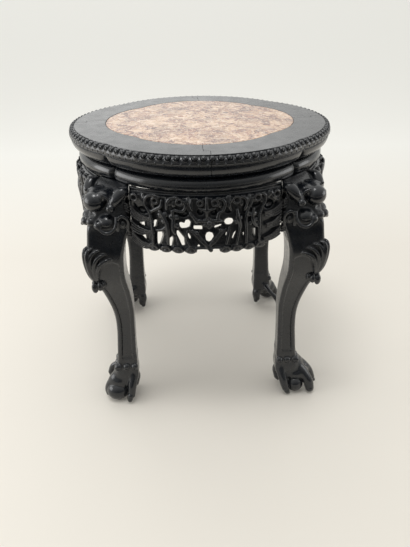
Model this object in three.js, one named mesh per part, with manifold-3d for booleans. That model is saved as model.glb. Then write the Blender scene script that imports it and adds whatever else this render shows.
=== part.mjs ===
// Marble-top stand: a four-lobed marble panel in a moulded hardwood frame, on four carved legs.
// Millimetres, +Z up, origin on the floor under the middle of the top. The front faces -Y.
import * as THREE from 'three';
import { mergeVertices } from 'three/addons/utils/BufferGeometryUtils.js';
import Module from 'manifold-3d';

const wasm = await Module();
wasm.setup();

// Overall
const standHeight = 452;
const topHalfWidth = 211; // middle to the outermost beads of a lobe
const lobeOffset = 30; // middle of the top to the centre of each lobe's arc
const fit = 0.3; // clearance of every joint
const overlap = 1; // how far a joined or a cutting body runs on past the face it starts from
const lobeSteps = 12; // steps round a quarter of the top

// Top frame, as a section: distance in from the edge, and height
const frameWidth = 58.5; // beads to marble
const frameThickness = 32;
const beadRowHeight = 15;
const beadInset = 9; // edge of the flat top
const quirk = 1; // narrow grooves above and below the beads
const ovoloInset = 2.1; // fullest part of the ovolo
const neckInset = 22; // foot of the ovolo
const seamStep = 4.5; // sideways jog of the scarfed seams between frame pieces
const seamStepInset = 27;

// Marble and what carries it
const marbleThickness = 12;
const marbleBevel = 1.5;
const ledgeWidth = 10;
const battenWidth = 36;
const battenThickness = 14;
const battenLap = 9;
const splineLength = 44;
const splineWidth = 16;
const splineThickness = 6;
const splineCover = 4; // wood between a seam's jog and its spline

// Waist rails
const railHeight = 21;
const railDepth = 23; // front of the band to the back face
const railBandInset = 11.5;
const railBandHeight = 15;
const railBandSwell = 4.5; // how far the band swells out
const railTongueWidth = 4;
const railTongueHeight = 4;

// Aprons
const apronHeight = 92;
const apronThickness = 18;
const apronSetback = 7; // middle of the apron's face to the edge of the top
const apronEndProud = 13; // apron's face at the leg, in front of the leg's shoulder
const apronEndLift = 18; // rise of the lower edge at the legs
const apronLobeCount = 10;
const apronLobeShare = 0.81; // how much of the apron's length the lobes of its lower edge take
const apronLobeRoundness = 0.68; // radius of a lobe, as a share of the spacing
const tenonLength = 14;
const tenonThickness = 8;
const tenonHeight = 44;
const tenonInset = 1.5; // back of the apron's end to its tenon
const tenonDrop = 12; // top of the apron to the top of its tenons
const tabWidth = 18;
const tabHeight = 8;
const tabThickness = 6;
const tabInset = 0.8; // back of the apron to its tabs
const tabSpacing = 66;
const pegRadius = 2.5;
const pegReach = 2; // end of a peg, past the leg's shoulder and inside the mask's swell
const pegOffset = 8; // pegs of neighbouring aprons pass above and below each other

// Legs, on the diagonals
const legProud = 25.3; // corner of the leg's shoulder, outside the cusp between two lobes
const legBlock = 51; // width of the leg's square shoulder
const legEdge = 7; // rounding of the leg's edges
const postWidth = 24; // stub that runs up behind the waist into the frame
const postDepth = 12; // how far the stub enters the frame
const ballSetback = 4; // middle of the ball to the line of the leg's shoulder
const ballRadius = 22;
const ballFlat = 2; // how much of the ball is cut off flat where it stands
const toeReach = 19; // middle of the ball to the middle of a claw
const toeRadius = 11;
const toeDirections = [45, -40, 130, 225]; // degrees round the ball
const snoutRadius = 15.8;
const snoutDrop = 22.4; // top of the leg to the middle of the snout
const kneeTip = 12; // curled tip of the knee's leaf, outside the leg's shoulder

const quarter = Math.PI / 2;

// Levels and places that follow from the sizes above
const frameBottom = standHeight - frameThickness;
const railTop = frameBottom - fit;
const railBottom = railTop - railHeight;
const legTop = railBottom - fit;
const apronTop = railBottom - fit;
const apronBottom = apronTop - apronHeight;
const ledgeTop = standHeight - marbleThickness - fit;
const battenBottom = ledgeTop - battenThickness;
const legCorner = (lobedRadius(0, quarter / 2) + legProud) / Math.SQRT2;
const legInner = legCorner - legBlock;
const apronFace = topHalfWidth - apronSetback;
const apronHalfLength = legInner - fit;
const apronEndFace = legCorner + apronEndProud;
const apronBow = apronFace - apronEndFace;
const apronRadius = (apronHalfLength ** 2 + apronBow ** 2) / (2 * apronBow);
const railBackInset = railBandInset + railDepth;

const darkWood = { color: 0x2b2a2b, roughness: 0.38, metalness: 0 };
const hiddenWood = { color: 0x3a3230, roughness: 0.6, metalness: 0 };
const paleMarble = { color: 0xe3d3c2, roughness: 0.25, metalness: 0 };

const stand = new THREE.Group();

/** Adds a named piece to the stand, turned about Z by a number of quarter turns. */
function addPiece(name, geometry, finish, quarterTurns = 0) {
  const mesh = new THREE.Mesh(geometry, new THREE.MeshStandardMaterial(finish));
  mesh.name = name;
  mesh.rotation.z = quarterTurns * quarter;
  stand.add(mesh);
}

/** A closed geometry as a solid, with its shared vertices merged. */
function toSolid(geometry) {
  const bare = geometry.index ? geometry.toNonIndexed() : geometry.clone();
  bare.deleteAttribute('normal');
  bare.deleteAttribute('uv');
  const merged = mergeVertices(bare, 1e-4);
  return new wasm.Manifold(new wasm.Mesh({
    numProp: 3,
    vertProperties: new Float32Array(merged.attributes.position.array),
    triVerts: new Uint32Array(merged.index.array),
  }));
}

/** A solid as a geometry. */
function toGeometry(solid) {
  const mesh = solid.getMesh();
  const geometry = new THREE.BufferGeometry();
  geometry.setAttribute('position', new THREE.BufferAttribute(mesh.vertProperties, 3));
  geometry.setIndex(new THREE.BufferAttribute(mesh.triVerts, 1));
  return geometry;
}

/** A box given by its centre and its sizes, turned about Z. */
function boxSolid(center, size, turn = 0) {
  const box = new THREE.BoxGeometry(...size);
  box.translate(...center);
  box.rotateZ(turn);
  return toSolid(box);
}

/** An upright prism of a plan outline between two heights. */
function prismSolid(outline, bottom, top) {
  const prism = new THREE.ExtrudeGeometry(new THREE.Shape(outline), {
    depth: top - bottom, bevelEnabled: false,
  });
  prism.translate(0, 0, bottom);
  return toSolid(prism);
}

/** An ellipsoid with its centre, three radii and a turn about each axis. */
function blobSolid(center, radii, turn = [0, 0, 0], facets = [7, 5]) {
  const ball = new THREE.SphereGeometry(1, ...facets);
  ball.rotateX(quarter);
  const matrix = new THREE.Matrix4().compose(
    new THREE.Vector3(...center),
    new THREE.Quaternion().setFromEuler(new THREE.Euler(...turn)),
    new THREE.Vector3(...radii),
  );
  return toSolid(ball.applyMatrix4(matrix));
}

/** Distance from the middle to the four-lobed outline that lies `inset` inside the top's edge. */
function lobedRadius(inset, angle) {
  const fromLobe = angle - quarter * Math.round(angle / quarter);
  const arcRadius = topHalfWidth - lobeOffset - inset;
  const across = lobeOffset * Math.sin(fromLobe);
  return lobeOffset * Math.cos(fromLobe) + Math.sqrt(arcRadius ** 2 - across ** 2);
}

/** A point of the four-lobed outline at an inset, an angle and a height. */
function lobedPoint(inset, angle, height) {
  const radius = lobedRadius(inset, angle);
  return new THREE.Vector3(radius * Math.cos(angle), radius * Math.sin(angle), height);
}

/** A closed body through rings of points; the last ring joins the first, or both are capped. */
function skinRings(rings, closed) {
  const size = rings[0].length;
  const positions = rings.flat().flatMap((point) => [point.x, point.y, point.z]);
  const index = [];
  const spans = closed ? rings.length : rings.length - 1;
  for (let ring = 0; ring < spans; ring += 1) {
    const here = ring * size;
    const next = ((ring + 1) % rings.length) * size;
    for (let side = 0; side < size; side += 1) {
      const far = (side + 1) % size;
      index.push(here + side, here + far, next + far, here + side, next + far, next + side);
    }
  }
  if (!closed) {
    const flat = projectRing(rings[0]);
    const last = (rings.length - 1) * size;
    for (const [a, b, c] of THREE.ShapeUtils.triangulateShape(flat, [])) {
      index.push(c, b, a, last + a, last + b, last + c);
    }
  }
  const geometry = new THREE.BufferGeometry();
  geometry.setAttribute('position', new THREE.Float32BufferAttribute(positions, 3));
  geometry.setIndex(signedVolume(positions, index) < 0 ? index.reverse() : index);
  return geometry;
}

/** The ring's points in its own plane, for closing it with triangles. */
function projectRing(ring) {
  const across = new THREE.Vector3().subVectors(ring[1], ring[0]).normalize();
  const third = ring.find((point) => {
    const arm = new THREE.Vector3().subVectors(point, ring[0]);
    return arm.cross(across).length() > 1;
  });
  const normal = new THREE.Vector3().subVectors(third, ring[0]).cross(across).normalize();
  const up = new THREE.Vector3().crossVectors(normal, across);
  const flat = ring.map((point) => new THREE.Vector2(point.dot(across), point.dot(up)));
  const mirror = THREE.ShapeUtils.isClockWise(flat) ? -1 : 1;
  return flat.map((point) => new THREE.Vector2(mirror * point.x, point.y));
}

/** Volume inside indexed triangles, negative when they face inward. */
function signedVolume(positions, index) {
  const corner = (slot) => new THREE.Vector3().fromArray(positions, 3 * index[slot]);
  let volume = 0;
  for (let slot = 0; slot < index.length; slot += 3) {
    volume += corner(slot).dot(corner(slot + 1).cross(corner(slot + 2))) / 6;
  }
  return volume;
}

/** A moulding of a section of (inset, height) points, round the top between two angles. */
function sweepMoulding(section, start, end, steps, closed) {
  const rings = [];
  for (let step = 0; step < (closed ? steps : steps + 1); step += 1) {
    const angle = start + ((end - start) * step) / steps;
    rings.push(section.map(([inset, height]) => lobedPoint(inset, angle, height)));
  }
  return skinRings(rings, closed);
}

/** Points of an arc in a section, from one angle to another in degrees. */
function sectionArc(center, radii, from, to, steps) {
  const points = [];
  for (let step = 0; step <= steps; step += 1) {
    const angle = THREE.MathUtils.degToRad(from + ((to - from) * step) / steps);
    points.push([center[0] - radii[0] * Math.cos(angle), center[1] + radii[1] * Math.sin(angle)]);
  }
  return points;
}

/** Section of the top frame: flat, bead row, ovolo, underside with a groove, and the ledge. */
function frameSection() {
  const beadRadius = (beadRowHeight - 2 * quirk) / 2;
  const beadHeight = standHeight - 1.5 * quirk - beadRadius;
  const ovoloTop = standHeight - beadRowHeight - quirk;
  const grooveStart = railGrooveInset() - fit;
  const grooveEnd = railGrooveInset() + railTongueWidth + fit;
  const grooveTop = frameBottom + railTongueHeight;
  return [
    [frameWidth, standHeight],
    [beadInset, standHeight],
    ...sectionArc([beadRadius, beadHeight], [beadRadius, beadRadius], 90, -60, 5),
    [beadInset - quirk, ovoloTop + quirk],
    ...sectionArc([neckInset, ovoloTop], [neckInset - ovoloInset, ovoloTop - frameBottom], 0, -90, 6),
    [grooveStart, frameBottom],
    [grooveStart, grooveTop],
    [grooveEnd, grooveTop],
    [grooveEnd, frameBottom],
    [frameWidth + ledgeWidth, frameBottom],
    [frameWidth + ledgeWidth, ledgeTop],
    [frameWidth, ledgeTop],
  ];
}

/** Inset at which the waist rail's tongue and its groove in the frame begin. */
function railGrooveInset() {
  return neckInset + railTongueWidth;
}

/** Plan outline of a quarter of the top, with the jog of the scarfed seam on both sides. */
function seamedQuarter() {
  const stepRadius = topHalfWidth - seamStepInset;
  const reach = topHalfWidth * 2;
  const half = fit / 2;
  const nearSeam = [
    [seamStep, -seamStep + half],
    [stepRadius - half, -seamStep + half],
    [stepRadius - half, seamStep + half],
    [reach, seamStep + half],
  ];
  const farSeam = [
    [seamStep, -seamStep - half],
    [stepRadius + half, -seamStep - half],
    [stepRadius + half, seamStep - half],
    [reach, seamStep - half],
  ].map(([along, aside]) => [-aside, along]);
  return [...nearSeam, ...farSeam.reverse()].map((point) => new THREE.Vector2(...point));
}

/** Pocket of a seam's spline, or the spline itself, at the lobe that points along +X. */
function splineAt(clearance, turn) {
  const inset = seamStepInset + splineCover + splineWidth / 2;
  const center = [topHalfWidth - inset, 0, frameBottom + frameThickness / 2];
  const grow = 2 * clearance;
  const size = [splineWidth + grow, splineLength + grow, splineThickness + grow];
  return boxSolid(center, size, turn);
}

/** One quarter of the frame, between the lobes that point along +X and +Y. */
function frameQuarter() {
  const ring = toSolid(sweepMoulding(frameSection(), 0, 2 * Math.PI, 4 * lobeSteps, true));
  return ring
    .intersect(prismSolid(seamedQuarter(), frameBottom - overlap, standHeight + overlap))
    .subtract(splineAt(fit, 0))
    .subtract(splineAt(fit, quarter))
    .subtract(postSolid(fit))
    .subtract(battenHousing());
}

/** Room for the end of a batten in the ledge. */
function battenHousing() {
  const end = battenEnd() + fit;
  const bottom = battenBottom - fit;
  const top = ledgeTop + fit;
  return boxSolid([end / 2, 0, (bottom + top) / 2], [end, battenWidth + 2 * fit, top - bottom],
    quarter / 2);
}

/** Distance from the middle to a batten's end, on the diagonal. */
function battenEnd() {
  return lobedRadius(frameWidth + ledgeWidth, quarter / 2) + battenLap;
}

/** One of the two crossed battens, halved where they cross. */
function battenSolid(notchAbove) {
  const middle = (battenBottom + ledgeTop) / 2;
  const bar = boxSolid([0, 0, middle], [2 * battenEnd(), battenWidth, battenThickness]);
  const notchDepth = (battenThickness + fit) / 2;
  const notchHeight = notchDepth + overlap;
  const offset = (battenThickness + overlap - notchDepth) / 2;
  const notchMiddle = notchAbove ? middle + offset : middle - offset;
  const crossing = battenWidth + 2 * fit;
  return bar.subtract(boxSolid([0, 0, notchMiddle], [crossing, 2 * battenWidth, notchHeight]));
}

/** The marble panel, with a small bevel round its upper edge. */
function marbleGeometry() {
  const edge = frameWidth + fit;
  const levels = [
    [edge, standHeight - marbleThickness],
    [edge, standHeight - marbleBevel],
    [edge + marbleBevel, standHeight],
  ];
  const rings = levels.map(([inset, height]) => {
    const ring = [];
    for (let step = 0; step < 4 * lobeSteps; step += 1) {
      ring.push(lobedPoint(inset, (step * quarter) / lobeSteps, height));
    }
    return ring;
  });
  return skinRings(rings, false);
}

/** Section of a waist rail: a full band, a neck and a tongue. */
function railSection() {
  const neckHeight = railBottom + railBandHeight;
  const tongue = railGrooveInset();
  return [
    ...sectionArc([railBandInset + railBandSwell, railBottom + railBandHeight / 2],
      [railBandSwell, railBandHeight / 2], -90, 90, 6),
    [neckInset, (neckHeight + railTop) / 2],
    [neckInset, railTop],
    [tongue, railTop],
    [tongue, railTop + railTongueHeight],
    [tongue + railTongueWidth, railTop + railTongueHeight],
    [tongue + railTongueWidth, railTop],
    [railBackInset, railTop],
    [railBackInset, railBottom],
  ];
}

/** The waist rail of the lobe that points along +X, mitred on the diagonals. */
function railSolid() {
  const mitreGap = fit / (2 * lobedRadius(railBackInset, quarter / 2));
  const end = quarter / 2 - mitreGap;
  const moulding = sweepMoulding(railSection(), -end, end, lobeSteps, false);
  return toSolid(moulding).subtract(apronTabs(fit));
}

/** Plan section of the curved apron wall of the lobe that points along +X. */
function apronPlan() {
  const center = apronFace - apronRadius;
  const halfAngle = Math.asin(apronHalfLength / apronRadius);
  const back = apronRadius - apronThickness;
  const backAngle = Math.asin(apronHalfLength / back);
  const plan = new THREE.Shape();
  plan.absarc(center, 0, apronRadius, -halfAngle, halfAngle, false);
  plan.absarc(center, 0, back, backAngle, -backAngle, true);
  plan.closePath();
  return plan;
}

/** A slanted oval hole of the openwork: its place and size as shares of the apron, and its tilt. */
function openworkHole([along, up, wide, tall, tilt]) {
  const hole = new THREE.Path();
  hole.absellipse(
    along * apronHalfLength, apronBottom + up * apronHeight,
    wide * apronHalfLength, tall * apronHeight, 0, 2 * Math.PI, true, THREE.MathUtils.degToRad(tilt));
  return hole;
}

/** Face outline of an apron: straight top, lifted ends and a lower edge of round lobes. */
function apronOutline() {
  const outline = new THREE.Shape();
  const spacing = (2 * apronLobeShare * apronHalfLength) / apronLobeCount;
  const lobeRadius = apronLobeRoundness * spacing;
  const halfArc = Math.asin(0.5 / apronLobeRoundness);
  const down = 3 * quarter;
  outline.moveTo(-apronHalfLength, apronTop);
  outline.lineTo(-apronHalfLength, apronBottom + apronEndLift);
  for (let lobe = 0; lobe < apronLobeCount; lobe += 1) {
    const middle = (lobe - (apronLobeCount - 1) / 2) * spacing;
    outline.absarc(middle, apronBottom + lobeRadius, lobeRadius, down - halfArc, down + halfArc, false);
  }
  outline.lineTo(apronHalfLength, apronBottom + apronEndLift);
  outline.lineTo(apronHalfLength, apronTop);
  outline.closePath();
  const openwork = [
    [-0.805, 0.485, 0.046, 0.06, 30],
    [-0.65, 0.5, 0.035, 0.09, -20],
    [-0.287, 0.54, 0.08, 0.055, 25],
    [-0.128, 0.485, 0.055, 0.035, 0],
    [0.118, 0.5, 0.05, 0.028, 15],
    [0.253, 0.565, 0.064, 0.055, 5],
    [0.61, 0.53, 0.035, 0.07, 15],
    [-0.795, 0.25, 0.042, 0.07, 30],
    [-0.595, 0.27, 0.04, 0.115, -12],
    [-0.46, 0.24, 0.033, 0.087, -8],
    [-0.338, 0.305, 0.046, 0.13, 18],
    [-0.239, 0.345, 0.021, 0.06, 25],
    [0.014, 0.335, 0.052, 0.082, 0],
    [0.23, 0.335, 0.02, 0.06, -20],
    [0.32, 0.32, 0.035, 0.11, -25],
    [0.445, 0.27, 0.03, 0.08, 5],
    [0.59, 0.3, 0.035, 0.1, 8],
  ];
  for (const hole of openwork) {
    outline.holes.push(openworkHole(hole));
  }
  return outline;
}

/** Two tabs on the top of an apron that enter the waist rail. */
function apronTabs(clearance) {
  const grow = 2 * clearance;
  const height = tabHeight + overlap;
  const arc = apronRadius - apronThickness + tabInset + tabThickness / 2;
  const center = [arc, 0, apronTop - overlap + height / 2];
  const size = [tabThickness + grow, tabWidth + grow, height + grow];
  const spread = Math.asin(tabSpacing / (2 * arc));
  return boxSolid(center, size, spread)
    .add(boxSolid(center, size, -spread))
    .translate([apronFace - apronRadius, 0, 0]);
}

/** Tenon at one end of an apron, or its mortise when given a clearance. */
function apronTenon(side, clearance) {
  const grow = 2 * clearance;
  const back = Math.sqrt((apronRadius - apronThickness) ** 2 - apronHalfLength ** 2);
  const depth = apronFace - apronRadius + back + tenonInset + tenonThickness / 2;
  const length = tenonLength + overlap;
  const center = [depth, side * (apronHalfLength - overlap + length / 2),
    apronTop - tenonDrop - tenonHeight / 2];
  return boxSolid(center, [tenonThickness + grow, length + grow, tenonHeight + grow]);
}

/** Peg through a leg and an apron's tenon, or its hole when given a clearance. */
function pegSolid(side, clearance) {
  const outer = legCorner + pegReach;
  const peg = new THREE.CylinderGeometry(pegRadius + clearance, pegRadius + clearance,
    outer - legInner + clearance, 10);
  peg.rotateZ(quarter);
  const height = apronTop - tenonDrop - tenonHeight / 2 + side * pegOffset;
  peg.translate((outer + legInner + clearance) / 2, side * (legInner + tenonLength / 2), height);
  return toSolid(peg);
}

/** The apron of the lobe that points along +X. */
function apronSolid() {
  const wall = new THREE.ExtrudeGeometry(apronPlan(), {
    depth: apronHeight, bevelEnabled: false, curveSegments: 6,
  });
  wall.translate(0, 0, apronBottom);
  const face = new THREE.ExtrudeGeometry(apronOutline(), {
    depth: 2 * topHalfWidth, bevelEnabled: false, curveSegments: 3,
  });
  face.rotateX(quarter);
  face.rotateZ(quarter);
  const panel = toSolid(wall).intersect(toSolid(face));
  const rosetteRadius = 0.085 * apronHalfLength;
  const rosette = blobSolid([apronFace - rosetteRadius / 2, 0, apronBottom + 0.53 * apronHeight],
    [rosetteRadius, rosetteRadius, rosetteRadius]);
  let apron = panel.add(rosette).add(apronTabs(0));
  for (const side of [-1, 1]) {
    apron = apron.add(apronTenon(side, 0)).subtract(pegSolid(side, fit));
  }
  return apron;
}

/** Square section of a leg with rounded edges, given by its outer corner, width and height. */
function legRing(corner, width, height) {
  const edge = Math.min(legEdge, width / 3);
  const low = corner - width + edge;
  const high = corner - edge;
  const centers = [[high, high], [low, high], [low, low], [high, low]];
  return centers.flatMap(([x, y], turn) => [0, 1, 2].map((step) => {
    const angle = (turn + step / 2) * quarter;
    return new THREE.Vector3(x + edge * Math.cos(angle), y + edge * Math.sin(angle), height);
  }));
}

/** The bare cabriole of a leg: its section's outer corner and width at rising heights. */
function cabrioleSolid() {
  const stations = [
    [0.03, -3, 35],
    [0.1, -1, 37],
    [0.17, -2, 35],
    [0.24, -5, 32],
    [0.36, -8.5, 30],
    [0.45, -7, 33],
    [0.55, 2, 40],
    [0.63, 12.5, 47],
    [0.69, 17, 51],
    [0.75, 18, 54],
    [0.8, 16, 57],
    [0.86, 13, 62],
    [0.93, 8, legBlock + 8],
    [1, 0, legBlock],
  ];
  const rings = stations.map(([share, outward, width]) => (
    legRing(legCorner + outward, width, share * legTop)));
  return toSolid(skinRings(rings, false));
}

/** Stub on top of a leg, chamfered to pass behind the waist; its mortise has a clearance. */
function postSolid(clearance) {
  const chamfer = lobedRadius(railBackInset, quarter / 2) - fit + clearance;
  const corner = legInner + postWidth;
  const grow = 2 * clearance;
  const bottom = legTop - overlap;
  const top = frameBottom + postDepth + clearance;
  const stub = boxSolid(
    [corner - postWidth / 2, corner - postWidth / 2, (bottom + top) / 2],
    [postWidth + grow, postWidth + grow, top - bottom]);
  const keep = boxSolid([chamfer / 2, 0, standHeight / 2], [chamfer, 4 * postWidth, 2 * standHeight],
    quarter / 2);
  return stub.intersect(keep);
}

/** A blob and its mirror image across the leg's diagonal. */
function mirroredBlobs(center, radii, turn) {
  const [x, y, z] = center;
  const [across, out, tall] = radii;
  const [tipX, tipY, tipZ] = turn;
  const mirrored = blobSolid([y, x, z], [out, across, tall], [-tipY, -tipX, -tipZ]);
  return blobSolid(center, radii, turn).add(mirrored);
}

/** The mask on the leg's shoulder: round snout, brows, eyes, rolled lips and jowls. */
function maskSolid() {
  const snout = legCorner - legEdge / 3;
  const level = legTop - snoutDrop;
  return blobSolid([snout, snout, level], [snoutRadius, snoutRadius, snoutRadius], [0, 0, 0], [10, 7])
    .add(mirroredBlobs([legCorner - 35, legCorner + 6, level + 8], [7, 8, 12], [0, 0, 0]))
    .add(mirroredBlobs([legCorner - 22, legCorner + 8, level - 7], [6, 6, 6], [0, 0, 0]))
    .add(mirroredBlobs([legCorner - 14, legCorner + 11, level - 30], [13, 13, 11], [0, 0, 0]))
    .add(mirroredBlobs([legCorner - 37, legCorner + 8, level - 27], [8, 8, 10], [0, 0, 0]))
    .add(blobSolid([legCorner + 6, legCorner + 6, level - 30], [8, 8, 8]));
}

/** The curled tip of the knee's leaf, and the curl on the ankle. */
function kneeSolid() {
  const tip = legCorner + kneeTip;
  const ankle = legCorner - legEdge;
  return blobSolid([tip, tip, 0.615 * legTop], [10, 10, 13])
    .add(blobSolid([ankle, ankle, 0.2 * legTop], [11, 11, 8]));
}

/** A point at a distance and angle from the foot's middle, at a height. */
function polarPoint(middle, distance, angle, height) {
  return [middle + distance * Math.cos(angle), middle + distance * Math.sin(angle), height];
}

/** The foot: a ball held by four toes, cut flat where it stands. */
function footSolid() {
  const middle = legCorner - ballSetback;
  const center = ballRadius - ballFlat;
  let foot = blobSolid([middle, middle, center], [ballRadius, ballRadius, ballRadius], [0, 0, 0], [12, 7]);
  for (const degrees of toeDirections) {
    const angle = THREE.MathUtils.degToRad(degrees);
    const toe = polarPoint(middle, toeReach, angle, 0.8 * toeRadius);
    const knuckle = polarPoint(middle, 0.65 * toeReach, angle, center + 0.8 * toeRadius);
    foot = foot
      .add(blobSolid(toe, [1.1 * toeRadius, 0.75 * toeRadius, 1.2 * toeRadius], [0, 0, angle]))
      .add(blobSolid(knuckle, [toeRadius, 0.8 * toeRadius, toeRadius], [0, 0, angle]));
  }
  const floor = boxSolid([middle, middle, -legBlock], [4 * legBlock, 4 * legBlock, 2 * legBlock]);
  return foot.subtract(floor);
}

/** The leg of the corner between +X and +Y, with its joints cut. */
function legSolid() {
  const above = boxSolid([legCorner, legCorner, legTop + legBlock],
    [6 * legBlock, 6 * legBlock, 2 * legBlock]);
  const carving = maskSolid().add(kneeSolid()).add(footSolid());
  return cabrioleSolid()
    .add(carving)
    .subtract(above)
    .add(postSolid(0))
    .subtract(roomForApron(1))
    .subtract(roomForApron(-1).rotate([0, 0, 90]));
}

/** What one end of an apron takes out of its leg: mortise, peg hole and the space before it. */
function roomForApron(side) {
  const center = [legCorner, (side * legInner) / 2, (apronBottom + apronTop) / 2];
  const before = boxSolid(center, [3 * legBlock, legInner, apronHeight + 2 * fit]);
  return apronTenon(side, fit).add(pegSolid(side, fit)).add(before);
}

const sides = ['right', 'back', 'left', 'front'];
const corners = ['back_right', 'back_left', 'front_left', 'front_right'];

addPiece('marble_panel', marbleGeometry(), paleMarble);

const framePiece = toGeometry(frameQuarter());
const legPiece = toGeometry(legSolid());
const railPiece = toGeometry(railSolid());
const apronPiece = toGeometry(apronSolid());
const splinePiece = toGeometry(splineAt(0, 0));
for (let turn = 0; turn < 4; turn += 1) {
  addPiece(`top_frame_${corners[turn]}`, framePiece, darkWood, turn);
  addPiece(`frame_spline_${sides[turn]}`, splinePiece, hiddenWood, turn);
  addPiece(`waist_rail_${sides[turn]}`, railPiece, darkWood, turn);
  addPiece(`apron_${sides[turn]}`, apronPiece, darkWood, turn);
  addPiece(`leg_${corners[turn]}`, legPiece, darkWood, turn);
}

addPiece('panel_batten_lower', toGeometry(battenSolid(true)), hiddenWood, 0.5);
addPiece('panel_batten_upper', toGeometry(battenSolid(false)), hiddenWood, 1.5);

for (const [end, side] of [['a', -1], ['b', 1]]) {
  const peg = toGeometry(pegSolid(side, 0));
  for (let turn = 0; turn < 4; turn += 1) {
    addPiece(`apron_peg_${sides[turn]}_${end}`, peg, hiddenWood, turn);
  }
}

export default stand;
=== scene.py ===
"""Marble-top stand of carved, blackened hardwood: its carvings, mouldings, finishes, light and camera."""

import logging
import math
from dataclasses import dataclass
from enum import Enum
from typing import Callable, Sequence

import bpy
import numpy as np
from mathutils import Euler, Matrix, Vector

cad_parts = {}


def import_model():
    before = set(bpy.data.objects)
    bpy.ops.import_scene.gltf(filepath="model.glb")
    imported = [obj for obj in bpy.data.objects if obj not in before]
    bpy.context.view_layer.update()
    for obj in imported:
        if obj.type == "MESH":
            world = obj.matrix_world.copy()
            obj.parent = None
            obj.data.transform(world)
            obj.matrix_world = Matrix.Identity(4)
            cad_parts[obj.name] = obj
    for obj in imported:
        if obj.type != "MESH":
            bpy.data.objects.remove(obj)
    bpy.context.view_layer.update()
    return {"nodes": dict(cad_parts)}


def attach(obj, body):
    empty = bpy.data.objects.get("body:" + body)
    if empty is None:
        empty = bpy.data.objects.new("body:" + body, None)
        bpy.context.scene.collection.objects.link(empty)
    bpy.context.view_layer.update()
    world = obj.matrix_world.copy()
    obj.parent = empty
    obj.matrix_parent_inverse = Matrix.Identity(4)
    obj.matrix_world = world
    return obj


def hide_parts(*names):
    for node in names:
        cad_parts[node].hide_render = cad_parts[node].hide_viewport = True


log = logging.getLogger("stand")

MM = 0.001
Point = tuple[float, float, float]
SIDES = ("right", "back", "left", "front")
CORNERS = ("back_right", "back_left", "front_left", "front_right")
# The eight corners of a cell of a carving's grid.
CELL_CORNERS = np.array([(i, j, k) for i in (0, 1) for j in (0, 1) for k in (0, 1)])


class Detail(Enum):
    """How fine the carvings are cut: the spacing of their points in millimetres."""

    FINE = 0.95
    COARSE = 1.6


def carving_detail() -> Detail:
    """Returns the spacing to carve at: fine."""
    return Detail.FINE


def linear(code: str) -> tuple[float, float, float, float]:
    """Turns an sRGB hex colour into linear light.

    Args:
        code: six hex digits.

    Returns:
        Red, green, blue and an alpha of 1.
    """
    shares = [int(code[at:at + 2], 16) / 255 for at in (0, 2, 4)]
    red, green, blue = (s / 12.92 if s <= 0.04045 else ((s + 0.055) / 1.055) ** 2.4 for s in shares)
    return (red, green, blue, 1.0)


def add_node(tree: bpy.types.NodeTree, kind: str, settings: dict | None = None,
             inputs: dict | None = None, stops: Sequence[tuple[float, str]] = ()) -> bpy.types.Node:
    """Adds a node with its settings and links.

    Args:
        tree: the tree that the node goes into.
        kind: the node's type name.
        settings: properties of the node by name.
        inputs: a value, or the socket that feeds it, by input name or number.
        stops: positions and hex colours of a colour ramp.

    Returns:
        The node.
    """
    node = tree.nodes.new(kind)
    for name, value in (settings or {}).items():
        setattr(node, name, value)
    for key, value in (inputs or {}).items():
        if isinstance(value, bpy.types.NodeSocket):
            tree.links.new(value, node.inputs[key])
        else:
            node.inputs[key].default_value = value
    for number, (position, code) in enumerate(stops):
        elements = node.color_ramp.elements
        element = elements[number] if number < len(elements) else elements.new(position)
        element.position = position
        element.color = linear(code)
    return node


def new_material(name: str) -> tuple[bpy.types.Material, bpy.types.NodeTree, bpy.types.Node]:
    """Starts a node-based material.

    Args:
        name: the material's name.

    Returns:
        The material, its tree and its output node.
    """
    material = bpy.data.materials.new(name)
    material.use_nodes = True
    tree = material.node_tree
    tree.nodes.clear()
    output = tree.nodes.new("ShaderNodeOutputMaterial")
    return material, tree, output


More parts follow.
